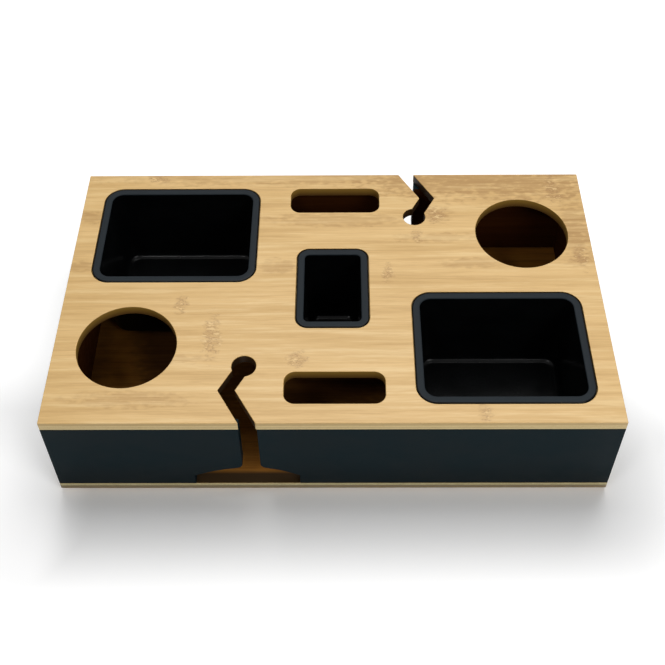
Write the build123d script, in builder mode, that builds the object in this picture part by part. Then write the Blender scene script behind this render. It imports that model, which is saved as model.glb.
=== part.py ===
from build123d import *
import os

os.makedirs("parts", exist_ok=True)

# Boards of the box
panel_thick = 9.0
base_thick = 9.0
wall_thick = 10.0
wall_height = 81.5
panel_ease = 0.5
base_ease = 1.5

# Margins between the panel's edges and what is let into it, the strip between the inner ends
# of the large bins, and the gap between the front and the back row
end_margin = 18.6
edge_margin = 17.8
middle_strip = 131.6
row_gap = 12.4

# Bins
large_rim_length = 140.6
large_rim_depth = 110.0
large_rim_corner = 16.0
large_floor_corner = 13.0
small_rim_length = 61.0
small_rim_depth = 85.4
small_rim_corner = 10.5
small_floor_corner = 9.0
rim_width = 6.5
rim_thick = 2.6
rim_round = 0.5
mouth_round = 0.9
bin_wall = 2.2
bin_draw_in = 3.0
bin_floor_round = 6.0
bin_floor_gap = 7.0
rim_clearance = 0.5
body_clearance = 0.8

# Cup holes and phone slots
cup_radius = 40.4
slot_length = 79.8
slot_width = 29.8
slot_corner = 9.0
slot_shift = 1.9

# Cable slits: out from the middle of the tray, and in from the long edge
slit_shift = 1.1
slit_width = 13.4
mouth_out = 66.2
elbow_out = 83.9
elbow_in = 30.2
eye_out = 71.4
eye_in = 53.2
eye_radius = 9.9

# Cable ways through the front and back walls, below the slits
trunk_width = 14.5
flare_width = 85.5
flare_out = 70.6
flare_end_height = 12.5
flare_roof_height = 24.0
flare_lead_share = 0.34
flare_lead_rise = 0.55
flare_nose_round = 6.0

# Dowels
dowel_radius = 3.0
dowel_ease = 0.6
dowel_fit = 0.05
dowel_end_gap = 0.4
corner_dowel_length = 24.0
corner_dowel_in_face = 6.5
corner_dowel_inset = 20.0
panel_dowel_length = 20.0
panel_dowel_in_panel = 6.0

# Base screws, with a cross recess
screw_radius = 1.75
screw_head_radius = 3.6
screw_length = 25.0
screw_tip = 4.0
screw_sink = 0.3
screw_fit = 0.05
recess_length = 4.2
recess_width = 0.9
recess_depth = 1.3

# Places of the dowels and screws along the boards
end_fixing_inset = 26.0
way_fixing_inset = 13.0
side_fixing_inset = 30.0

# Grip pads
pad_radius = 14.0
pad_thick = 1.5
pad_ease = 0.4
pad_inset = 34.0

# One overrun serves all cuts
overrun = 5.0

# Heights of the stack, from the surface that the pads stand on
base_top = pad_thick + base_thick
panel_bottom = base_top + wall_height
panel_top = panel_bottom + panel_thick
ledge_height = panel_top - rim_thick
bin_bottom = base_top + bin_floor_gap

# Length and depth of the tray, and plan places about its middle
tray_length = 2 * (end_margin + large_rim_length) + middle_strip
tray_depth = 2 * (edge_margin + large_rim_depth) + row_gap
half_length = tray_length / 2
half_depth = tray_depth / 2
inner_half_depth = half_depth - wall_thick
wall_line_x = half_length - wall_thick / 2
wall_line_y = half_depth - wall_thick / 2
large_bin_x = half_length - end_margin - large_rim_length / 2
row_y = half_depth - edge_margin - large_rim_depth / 2
cup_x = half_length - end_margin - cup_radius
slot_y = half_depth - edge_margin - slot_width / 2

# The front and back share one layout, turned half round, so both are drawn from the front
FRONT = 1
BACK = -1
SIDES = (FRONT, BACK)


def way_edges(side, width, out):
    """X of the outer and inner edge of a cable way, seen from its own side of the tray."""
    middle = side * slit_shift - out
    return middle - width / 2, middle + width / 2


def wall_plane(side):
    """The outer face of a front or back wall, with its own X to the right and Y up."""
    return Plane(
        origin=(0, -side * half_depth, base_top),
        x_dir=(side, 0, 0),
        z_dir=(0, -side, 0),
    )


def even_places(start, end, count):
    """Evenly spread places from start to end."""
    return [start + (end - start) * place / (count - 1) for place in range(count)]


def split_wall_points(side, edges):
    """Fixing points of the short and the long board of a split wall."""
    short_places = even_places(-half_length + end_fixing_inset, edges[0] - way_fixing_inset, 2)
    long_places = even_places(edges[1] + way_fixing_inset, half_length - end_fixing_inset, 3)
    short_points = [(side * x, -side * wall_line_y) for x in short_places]
    long_points = [(side * x, -side * wall_line_y) for x in long_places]
    return short_points, long_points


def side_wall_points(end):
    """Fixing points of a side wall."""
    reach = inner_half_depth - side_fixing_inset
    return [(end * wall_line_x, y) for y in even_places(-reach, reach, 3)]


def corner_points(end, side):
    """Middles of the two dowels of one corner."""
    y = -side * (inner_half_depth + corner_dowel_in_face - corner_dowel_length / 2)
    heights = (base_top + corner_dowel_inset, panel_bottom - corner_dowel_inset)
    return [(end * wall_line_x, y, z) for z in heights]


def make_dowels(points, length, rotation):
    """Dowels with eased ends, each a solid of its own."""
    with BuildPart() as dowels:
        with Locations(*points):
            Cylinder(dowel_radius, length, rotation=rotation)
        chamfer(dowels.edges().filter_by(GeomType.CIRCLE), length=dowel_ease)
    return dowels.part


def cut_dowel_sockets(points, length, rotation):
    """Sockets for dowels, in the part being built."""
    with Locations(*points):
        Cylinder(
            dowel_radius + dowel_fit,
            length + 2 * dowel_end_gap,
            rotation=rotation,
            mode=Mode.SUBTRACT,
        )


def cut_panel_sockets(points):
    """Sockets for the upright dowels that hold the top panel."""
    middle = panel_bottom + panel_dowel_in_panel - panel_dowel_length / 2
    cut_dowel_sockets([(x, y, middle) for x, y in points], panel_dowel_length, (0, 0, 0))


def cut_corner_sockets(points):
    """Sockets for the dowels that lie along the tray's depth in its corners."""
    cut_dowel_sockets(points, corner_dowel_length, (90, 0, 0))


def cut_screw_pilots(points):
    """Pilot holes for the base screws, from a board's lower edge."""
    reach = screw_sink + screw_length - base_thick + dowel_end_gap
    with Locations(*[(x, y, base_top) for x, y in points]):
        Cylinder(
            screw_radius + screw_fit,
            reach,
            align=(Align.CENTER, Align.CENTER, Align.MIN),
            mode=Mode.SUBTRACT,
        )


def write(part, label):
    """Name a finished piece and write it to its file."""
    part.label = label
    export_step(part, f"parts/{label}.step")


# Top panel

body_grow = bin_wall + body_clearance
bin_places = [(-large_bin_x, row_y), (large_bin_x, -row_y)]
cup_places = [(-cup_x, -row_y), (cup_x, row_y)]


def cut_bin_seat(places, rim_length, rim_depth, rim_corner):
    """The opening for a bin's body, with the rebate that its rim lies in."""
    body_shrink = rim_width - body_grow
    with BuildSketch(Plane.XY.offset(panel_bottom)) as opening:
        with Locations(*places):
            RectangleRounded(
                rim_length - 2 * body_shrink,
                rim_depth - 2 * body_shrink,
                rim_corner - body_shrink,
            )
    extrude(opening.sketch, amount=panel_thick, mode=Mode.SUBTRACT)
    with BuildSketch(Plane.XY.offset(ledge_height)) as rebate:
        with Locations(*places):
            RectangleRounded(
                rim_length + 2 * rim_clearance,
                rim_depth + 2 * rim_clearance,
                rim_corner + rim_clearance,
            )
    extrude(rebate.sketch, amount=rim_thick, mode=Mode.SUBTRACT)


def cut_slit(side):
    """A zig-zag slit from its round eye out through the long edge."""
    half_slit = slit_width / 2
    mouth_x = side * slit_shift - mouth_out
    elbow_x = side * slit_shift - elbow_out
    eye_x = side * slit_shift - eye_out
    eye_y = eye_in - half_depth
    elbow_y = elbow_in - half_depth
    plane = Plane(origin=(0, 0, panel_bottom), x_dir=(side, 0, 0), z_dir=(0, 0, 1))
    with BuildSketch(plane) as slit:
        with BuildLine():
            Polyline(
                (mouth_x - half_slit, -half_depth - overrun),
                (mouth_x + half_slit, -half_depth - overrun),
                (mouth_x + half_slit, -half_depth),
                (elbow_x + half_slit, elbow_y),
                (eye_x + half_slit, eye_y),
                (eye_x - half_slit, eye_y),
                (elbow_x - half_slit, elbow_y),
                (mouth_x - half_slit, -half_depth),
                close=True,
            )
        make_face()
        with Locations((eye_x, eye_y)):
            Circle(eye_radius)
    extrude(slit.sketch, amount=panel_thick, mode=Mode.SUBTRACT)


trunk_points = {side: split_wall_points(side, way_edges(side, trunk_width, mouth_out)) for side in SIDES}
flare_points = {side: split_wall_points(side, way_edges(side, flare_width, flare_out)) for side in SIDES}
side_points = {end: side_wall_points(end) for end in (-1, 1)}
all_panel_points = sum((sum(trunk_points[side], []) for side in SIDES), [])
all_panel_points += side_points[-1] + side_points[1]
all_base_points = sum((sum(flare_points[side], []) for side in SIDES), [])
all_base_points += side_points[-1] + side_points[1]

with BuildPart() as top_panel:
    with BuildSketch(Plane.XY.offset(panel_bottom)):
        Rectangle(tray_length, tray_depth)
    extrude(amount=panel_thick)
    cut_bin_seat(bin_places, large_rim_length, large_rim_depth, large_rim_corner)
    cut_bin_seat([(0, 0)], small_rim_length, small_rim_depth, small_rim_corner)
    with BuildSketch(Plane.XY.offset(panel_bottom)):
        with Locations(*cup_places):
            Circle(cup_radius)
        with Locations((slot_shift, -slot_y), (slot_shift, slot_y)):
            RectangleRounded(slot_length, slot_width, slot_corner)
    extrude(amount=panel_thick, mode=Mode.SUBTRACT)
    cut_slit(FRONT)
    cut_slit(BACK)
    chamfer(top_panel.faces().sort_by(Axis.Z)[-1].edges(), length=panel_ease)
    cut_panel_sockets(all_panel_points)
write(top_panel.part, "top_panel")


# Base panel, countersunk from below

with BuildPart() as base_panel:
    with BuildSketch(Plane.XY.offset(pad_thick)):
        Rectangle(tray_length, tray_depth)
    extrude(amount=base_thick)
    chamfer(base_panel.faces().sort_by(Axis.Z)[0].edges(), length=base_ease)
    with Locations(*[Location((x, y, pad_thick), (180, 0, 0)) for x, y in all_base_points]):
        CounterSinkHole(
            screw_radius + screw_fit,
            screw_head_radius + screw_fit + screw_sink,
            depth=base_thick,
            counter_sink_angle=90,
        )
write(base_panel.part, "base_panel")


# Front and back walls, each in two boards with the cable way between them


def make_wall_board(side, end_x, flare_x, trunk_x, dowel_points, screw_points):
    """One board of a split wall, from its outer end to the cable way."""
    lead = flare_lead_share * (trunk_x - flare_x)
    flare_rise = flare_roof_height - flare_end_height
    end = 1 if side * end_x > 0 else -1
    with BuildPart() as board:
        with BuildSketch(wall_plane(side)) as outline:
            with BuildLine():
                Polyline(
                    (trunk_x, flare_roof_height),
                    (trunk_x, wall_height),
                    (end_x, wall_height),
                    (end_x, 0),
                    (flare_x, 0),
                    (flare_x, flare_end_height),
                )
                Bezier(
                    (flare_x, flare_end_height),
                    (flare_x + lead, flare_end_height + flare_lead_rise * flare_rise),
                    (trunk_x - lead, flare_roof_height),
                    (trunk_x, flare_roof_height),
                )
            make_face()
            nose = outline.vertices().sort_by_distance((trunk_x, flare_roof_height))[0]
            fillet(nose, radius=flare_nose_round)
        extrude(amount=-wall_thick)
        cut_panel_sockets(dowel_points)
        cut_corner_sockets(corner_points(end, side))
        cut_screw_pilots(screw_points)
    return board.part


for side, name in ((FRONT, "front"), (BACK, "back")):
    trunk_edges = way_edges(side, trunk_width, mouth_out)
    flare_edges = way_edges(side, flare_width, flare_out)
    short_name = "left" if side == FRONT else "right"
    long_name = "right" if side == FRONT else "left"
    short_board = make_wall_board(
        side,
        -half_length,
        flare_edges[0],
        trunk_edges[0],
        trunk_points[side][0],
        flare_points[side][0],
    )
    long_board = make_wall_board(
        side,
        half_length,
        flare_edges[1],
        trunk_edges[1],
        trunk_points[side][1],
        flare_points[side][1],
    )
    write(short_board, f"{name}_wall_{short_name}")
    write(long_board, f"{name}_wall_{long_name}")


# Side walls, between the front and back walls

for end, name in ((-1, "left"), (1, "right")):
    with BuildPart() as side_wall:
        with BuildSketch(Plane.XY.offset(base_top)):
            with Locations((end * wall_line_x, 0)):
                Rectangle(wall_thick, 2 * inner_half_depth)
        extrude(amount=wall_height)
        cut_panel_sockets(side_points[end])
        cut_corner_sockets(corner_points(end, FRONT) + corner_points(end, BACK))
        cut_screw_pilots(side_points[end])
    write(side_wall.part, f"{name}_side_wall")


# Bins


def tapered_block(length, depth, corner, floor_corner, floor_round, low):
    """A block with rounded corners that draws in towards its rounded floor."""
    with BuildPart() as block:
        with BuildSketch(Plane.XY.offset(low)):
            RectangleRounded(length - 2 * bin_draw_in, depth - 2 * bin_draw_in, floor_corner)
        with BuildSketch(Plane.XY.offset(panel_top)):
            RectangleRounded(length, depth, corner)
        loft(ruled=True)
        fillet(block.faces().sort_by(Axis.Z)[0].edges(), radius=floor_round)
    return block.part


def make_bin(place, rim_length, rim_depth, rim_corner, floor_corner):
    """One moulded bin: a flat rim round a tapered, hollow body."""
    hollow_length = rim_length - 2 * rim_width
    hollow_depth = rim_depth - 2 * rim_width
    hollow_corner = rim_corner - rim_width
    body = tapered_block(
        hollow_length + 2 * bin_wall,
        hollow_depth + 2 * bin_wall,
        hollow_corner + bin_wall,
        floor_corner + bin_wall,
        bin_floor_round + bin_wall,
        bin_bottom,
    )
    hollow = tapered_block(
        hollow_length,
        hollow_depth,
        hollow_corner,
        floor_corner,
        bin_floor_round,
        bin_bottom + bin_wall,
    )
    with BuildPart() as moulding:
        with BuildSketch(Plane.XY.offset(ledge_height)):
            RectangleRounded(rim_length, rim_depth, rim_corner)
        extrude(amount=rim_thick)
        fillet(moulding.faces().sort_by(Axis.Z)[-1].edges(), radius=rim_round)
        add(body)
        add(hollow, mode=Mode.SUBTRACT)
        mouth = moulding.faces().sort_by(Axis.Z)[-1].inner_wires()[0]
        fillet(mouth.edges(), radius=mouth_round)
    with BuildPart() as placed:
        with Locations(place):
            add(moulding.part)
    return placed.part


large_sizes = (large_rim_length, large_rim_depth, large_rim_corner, large_floor_corner)
small_sizes = (small_rim_length, small_rim_depth, small_rim_corner, small_floor_corner)
write(make_bin(bin_places[0], *large_sizes), "left_bin")
write(make_bin(bin_places[1], *large_sizes), "right_bin")
write(make_bin((0, 0), *small_sizes), "centre_bin")


# Dowels

all_corner_points = [
    point for end in (-1, 1) for side in SIDES for point in corner_points(end, side)
]
panel_dowel_middle = panel_bottom + panel_dowel_in_panel - panel_dowel_length / 2
panel_dowel_points = [(x, y, panel_dowel_middle) for x, y in all_panel_points]
write(make_dowels(all_corner_points, corner_dowel_length, (90, 0, 0)), "corner_dowels")
write(make_dowels(panel_dowel_points, panel_dowel_length, (0, 0, 0)), "panel_dowels")


# Base screws

screw_bottom = pad_thick + screw_sink
screw_head_height = screw_head_radius - screw_radius
with BuildPart() as screw:
    with BuildSketch(Plane.XZ):
        with BuildLine():
            Polyline(
                (0, 0),
                (screw_head_radius, 0),
                (screw_radius, screw_head_height),
                (screw_radius, screw_length - screw_tip),
                (0, screw_length),
                close=True,
            )
        make_face()
    revolve(axis=Axis.Z)
    with BuildSketch(Plane.XY):
        Rectangle(recess_length, recess_width)
        Rectangle(recess_width, recess_length)
    extrude(amount=recess_depth, mode=Mode.SUBTRACT)

with BuildPart() as base_screws:
    with Locations(*[(x, y, screw_bottom) for x, y in all_base_points]):
        add(screw.part)
write(base_screws.part, "base_screws")


# Grip pads

pad_x = half_length - pad_inset
pad_y = half_depth - pad_inset
for end, end_name in ((-1, "left"), (1, "right")):
    for side, side_name in ((FRONT, "front"), (BACK, "back")):
        with BuildPart() as pad:
            with BuildSketch(Plane.XY):
                with Locations((end * pad_x, -side * pad_y)):
                    Circle(pad_radius)
            extrude(amount=pad_thick)
            chamfer(pad.faces().sort_by(Axis.Z)[0].edges(), length=pad_ease)
        write(pad.part, f"{side_name}_{end_name}_grip_pad")
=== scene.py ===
import logging
import math
from collections.abc import Callable, Iterable, Sequence
from dataclasses import dataclass, replace
from enum import Enum

import bpy
from mathutils import Matrix, Vector


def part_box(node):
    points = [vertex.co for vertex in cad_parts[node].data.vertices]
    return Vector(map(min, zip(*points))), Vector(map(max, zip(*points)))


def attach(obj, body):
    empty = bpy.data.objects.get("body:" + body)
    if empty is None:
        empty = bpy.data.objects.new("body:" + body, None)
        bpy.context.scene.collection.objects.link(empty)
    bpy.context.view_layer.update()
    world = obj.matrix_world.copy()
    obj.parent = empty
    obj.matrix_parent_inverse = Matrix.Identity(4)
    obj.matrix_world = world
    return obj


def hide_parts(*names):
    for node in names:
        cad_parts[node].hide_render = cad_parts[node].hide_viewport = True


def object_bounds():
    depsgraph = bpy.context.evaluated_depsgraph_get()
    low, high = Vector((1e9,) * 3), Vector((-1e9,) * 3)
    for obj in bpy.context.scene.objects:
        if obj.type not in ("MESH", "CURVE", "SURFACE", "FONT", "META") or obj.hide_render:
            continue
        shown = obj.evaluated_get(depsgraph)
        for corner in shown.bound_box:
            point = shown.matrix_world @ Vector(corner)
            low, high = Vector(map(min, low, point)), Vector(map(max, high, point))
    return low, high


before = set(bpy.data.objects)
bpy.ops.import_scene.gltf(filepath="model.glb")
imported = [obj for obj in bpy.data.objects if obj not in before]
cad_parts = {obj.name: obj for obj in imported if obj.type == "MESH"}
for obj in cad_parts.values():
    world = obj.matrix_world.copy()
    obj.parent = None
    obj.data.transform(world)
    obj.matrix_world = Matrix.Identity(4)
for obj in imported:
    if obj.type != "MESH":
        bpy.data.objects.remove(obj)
cad_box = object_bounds()

logging.basicConfig(level=logging.INFO, format="%(message)s")
log = logging.getLogger("sofa_arm_tray")

Piece = bpy.types.Object
Output = bpy.types.NodeSocket
Point = tuple[float, float]
Range = tuple[float, float]
Place = tuple[float, float, float]
Colour = tuple[float, float, float, float]
Test = Callable[[Vector, Vector], bool]

MM = 0.001
# Points nearer than this count as one, and HAIR is the same for points that a step has just placed
TOUCH = 0.01 * MM
HAIR = 0.001 * MM
# A face looks along an axis when this much of its normal does, and is upright below the second share
FACING_SHARE = 0.9
UPRIGHT_SHARE = 0.3
SMOOTH_ANGLE = math.radians(30)
SHARP_ANGLE = math.radians(40)
EASE_STEPS = 2
ROUND_STEPS = 128


# Workshop: small steps on meshes, as done by hand in Blender


class Pick(Enum):
    """What the steps in edit mode select."""

    POINTS = "VERT"
    EDGES = "EDGE"
    FACES = "FACE"


def choose(piece: Piece) -> None:
    """Make one object the only selected one, in object mode.

    Args:
        piece: The object.
    """
    if bpy.context.object is not None and bpy.context.object.mode != "OBJECT":
        bpy.ops.object.mode_set(mode="OBJECT")
    bpy.ops.object.select_all(action="DESELECT")
    piece.select_set(True)
    bpy.context.view_layer.objects.active = piece


def settle(name: str) -> Piece:
    """Name the new primitive and put its place and size into its mesh.

    Args:
        name: The object's name.

    Returns:
        The object, at the origin and unscaled.
    """
    piece = bpy.context.object
    piece.name = name
    piece.data.name = name
    choose(piece)
    bpy.ops.object.transform_apply(location=True, rotation=True, scale=True)
    return piece


def enter_edit() -> None:
    """Go into edit mode."""
    bpy.ops.object.mode_set(mode="EDIT")


def leave_edit() -> None:
    """Go back to object mode."""
    bpy.ops.object.mode_set(mode="OBJECT")


def open_edit(piece: Piece, pick: Pick, whole: bool) -> None:
    """Open an object in edit mode with all or none of its mesh selected.

    Args:
        piece: The object.
        pick: What the next steps select.
        whole: Whether all of the mesh is selected, and not none of it.
    """
    choose(piece)
    enter_edit()
    bpy.ops.mesh.select_mode(type=pick.value)
    bpy.ops.mesh.select_all(action="SELECT" if whole else "DESELECT")


def edit_all(piece: Piece) -> None:
    """Open an object in edit mode with all of its mesh selected."""
    open_edit(piece, Pick.POINTS, True)


def edit_points(piece: Piece, test: Test) -> None:
    """Open an object in edit mode with some of its points selected.

    Args:
        piece: The object.
        test: Whether a point is selected, by its place and normal.
    """
    open_edit(piece, Pick.POINTS, False)
    leave_edit()
    for point in piece.data.vertices:
        point.select = test(point.co, point.normal)
    enter_edit()


def edit_edges(piece: Piece, test: Test) -> None:
    """Open an object in edit mode with some of its edges selected.

    Args:
        piece: The object.
        test: Whether an edge is selected, by its two ends.
    """
    open_edit(piece, Pick.EDGES, False)
    leave_edit()
    points = piece.data.vertices
    for edge in piece.data.edges:
        start, end = edge.vertices
        edge.select = test(points[start].co, points[end].co)
    enter_edit()


def edit_faces(piece: Piece, test: Test) -> None:
    """Open an object in edit mode with some of its faces selected.

    Args:
        piece: The object.
        test: Whether a face is selected, by its middle and normal.
    """
    open_edit(piece, Pick.FACES, False)
    leave_edit()
    for face in piece.data.polygons:
        face.select = test(face.center, face.normal)
    enter_edit()


def draw_out(x: float, y: float, z: float) -> None:
    """Extrude what is selected by a step."""
    bpy.ops.mesh.extrude_region_move(TRANSFORM_OT_translate={"value": (x, y, z)})


def face_outwards() -> None:
    """Point all faces of the open mesh outwards and leave edit mode."""
    bpy.ops.mesh.select_all(action="SELECT")
    bpy.ops.mesh.normals_make_consistent(inside=False)
    leave_edit()


def block(name: str, low: Place, high: Place) -> Piece:
    """Add a plain block between two corners, as the start of a piece.

    Args:
        name: The object's name.
        low: The corner with the least X, Y and Z.
        high: The corner with the greatest.

    Returns:
        The block.
    """
    middle = [(a + b) / 2 for a, b in zip(low, high)]
    size = [b - a for a, b in zip(low, high)]
    bpy.ops.mesh.primitive_cube_add(size=1, location=middle, scale=size)
    return settle(name)


@dataclass(frozen=True)
class RoundedOutline:
    """A rectangle with rounded corners, seen from above.

    Attributes:
        x: Middle along the tray's length.
        y: Middle along the tray's depth.
        length: Size along X.
        depth: Size along Y.
        corner: Radius of the corners.
        steps: Edges that a corner is divided into.
    """

    x: float
    y: float
    length: float
    depth: float
    corner: float
    steps: int = 12

    def drawn(self, by: float, corner: float) -> "RoundedOutline":
        """The outline drawn in by a distance, with a corner radius of its own."""
        return replace(self, length=self.length - 2 * by, depth=self.depth - 2 * by, corner=corner)

    def grown(self, by: float) -> "RoundedOutline":
        """The same outline, offset outwards by a distance."""
        return self.drawn(-by, self.corner + by)

    def beyond(self, point: Vector) -> float:
        """Measure how far a point lies outside the outline, seen from above.

        Args:
            point: The point.

        Returns:
            The distance to the outline, below zero inside it.
        """
        x = abs(point.x - self.x) - (self.length / 2 - self.corner)
        y = abs(point.y - self.y) - (self.depth / 2 - self.corner)
        outside = math.hypot(max(x, 0.0), max(y, 0.0))
        return (outside if outside > 0 else max(x, y)) - self.corner

    def sheet(self, name: str, z: float) -> Piece:
        """Add the outline as one flat face.

        Args:
            name: The object's name.
            z: The face's height.

        Returns:
            The face.
        """
        bpy.ops.mesh.primitive_plane_add(size=1, location=(self.x, self.y, z))
        bpy.context.object.scale = (self.length, self.depth, 1)
        piece = settle(name)
        edit_all(piece)
        bpy.ops.mesh.bevel(offset=self.corner, segments=self.steps, profile=0.5, affect="VERTICES")
        leave_edit()
        return piece

    def ring(self, name: str, z: float) -> Piece:
        """Add the outline as a closed line of edges.

        Args:
            name: The object's name.
            z: The line's height.

        Returns:
            The line.
        """
        piece = self.sheet(name, z)
        edit_all(piece)
        bpy.ops.mesh.delete(type="ONLY_FACE")
        leave_edit()
        return piece

    def prism(self, name: str, low: float, high: float) -> Piece:
        """Add the outline as a closed block.

        Args:
            name: The object's name.
            low: Height of its underside.
            high: Height of its top.

        Returns:
            The block.
        """
        piece = self.sheet(name, low)
        edit_all(piece)
        draw_out(0, 0, high - low)
        face_outwards()
        return piece


def round_prism(name: str, middle: Point, radius: float, low: float, high: float) -> Piece:
    """Add a round cutter that stands upright.

    Args:
        name: The object's name.
        middle: Its middle, seen from above.
        radius: Its radius.
        low: Height of its underside.
        high: Height of its top.

    Returns:
        The cutter.
    """
    place = (*middle, (low + high) / 2)
    bpy.ops.mesh.primitive_cylinder_add(vertices=ROUND_STEPS, radius=radius, depth=high - low, location=place)
    return settle(name)


def joined(parts: Sequence[Piece]) -> Piece:
    """Join several meshes into one.

    Args:
        parts: The meshes.

    Returns:
        The first of them, with the others in it.
    """
    choose(parts[0])
    for part in parts:
        part.select_set(True)
    bpy.ops.object.join()
    return bpy.context.object


def cut(piece: Piece, cutters: Sequence[Piece]) -> None:
    """Cut a group of cutters out of a piece, and throw them away.

    Args:
        piece: The piece.
        cutters: The cutters, none of which touches another.
    """
    cutter = joined(cutters)
    choose(piece)
    bpy.ops.object.modifier_add(type="BOOLEAN")
    modifier = piece.modifiers[-1]
    modifier.operation = "DIFFERENCE"
    modifier.solver = "EXACT"
    modifier.object = cutter
    bpy.ops.object.modifier_apply(modifier=modifier.name)
    bpy.data.objects.remove(cutter)
    edit_all(piece)
    bpy.ops.mesh.remove_doubles(threshold=TOUCH)
    leave_edit()


def smooth(piece: Piece) -> None:
    """Shade a piece smooth, apart from its sharp edges."""
    choose(piece)
    bpy.ops.object.shade_smooth_by_angle(angle=SMOOTH_ANGLE)


def ease_edges(piece: Piece, width: float) -> None:
    """Round every sharp edge of a piece a little, with flat faces kept flat in their shading.

    Args:
        piece: The piece.
        width: How far the rounding reaches from the edge.
    """
    smooth(piece)
    bpy.ops.object.modifier_add(type="BEVEL")
    modifier = piece.modifiers[-1]
    modifier.width = width
    modifier.segments = EASE_STEPS
    modifier.limit_method = "ANGLE"
    modifier.angle_limit = SHARP_ANGLE
    modifier.use_clamp_overlap = False
    modifier.harden_normals = True
    modifier.miter_outer = "MITER_SHARP"
    bpy.ops.object.modifier_apply(modifier=modifier.name)


def give_materials(piece: Piece, *materials: bpy.types.Material) -> None:
    """Give a piece its material slots, the first of them on all of its faces.

    Args:
        piece: The piece.
        materials: The materials, in the order of the slots.
    """
    piece.data.materials.clear()
    for material in materials:
        piece.data.materials.append(material)


def paint_faces(piece: Piece, slot: int, test: Test) -> None:
    """Give some faces of a piece another of its material slots.

    Args:
        piece: The piece.
        slot: The slot's number.
        test: Whether a face gets it, by its middle and normal.
    """
    edit_faces(piece, test)
    piece.active_material_index = slot
    bpy.ops.object.material_slot_assign()
    leave_edit()


def heights(node: str) -> Range:
    """The heights of a CAD node's underside and top in millimetres."""
    low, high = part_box(node)
    return low.z / MM, high.z / MM


# Shader nodes


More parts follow.
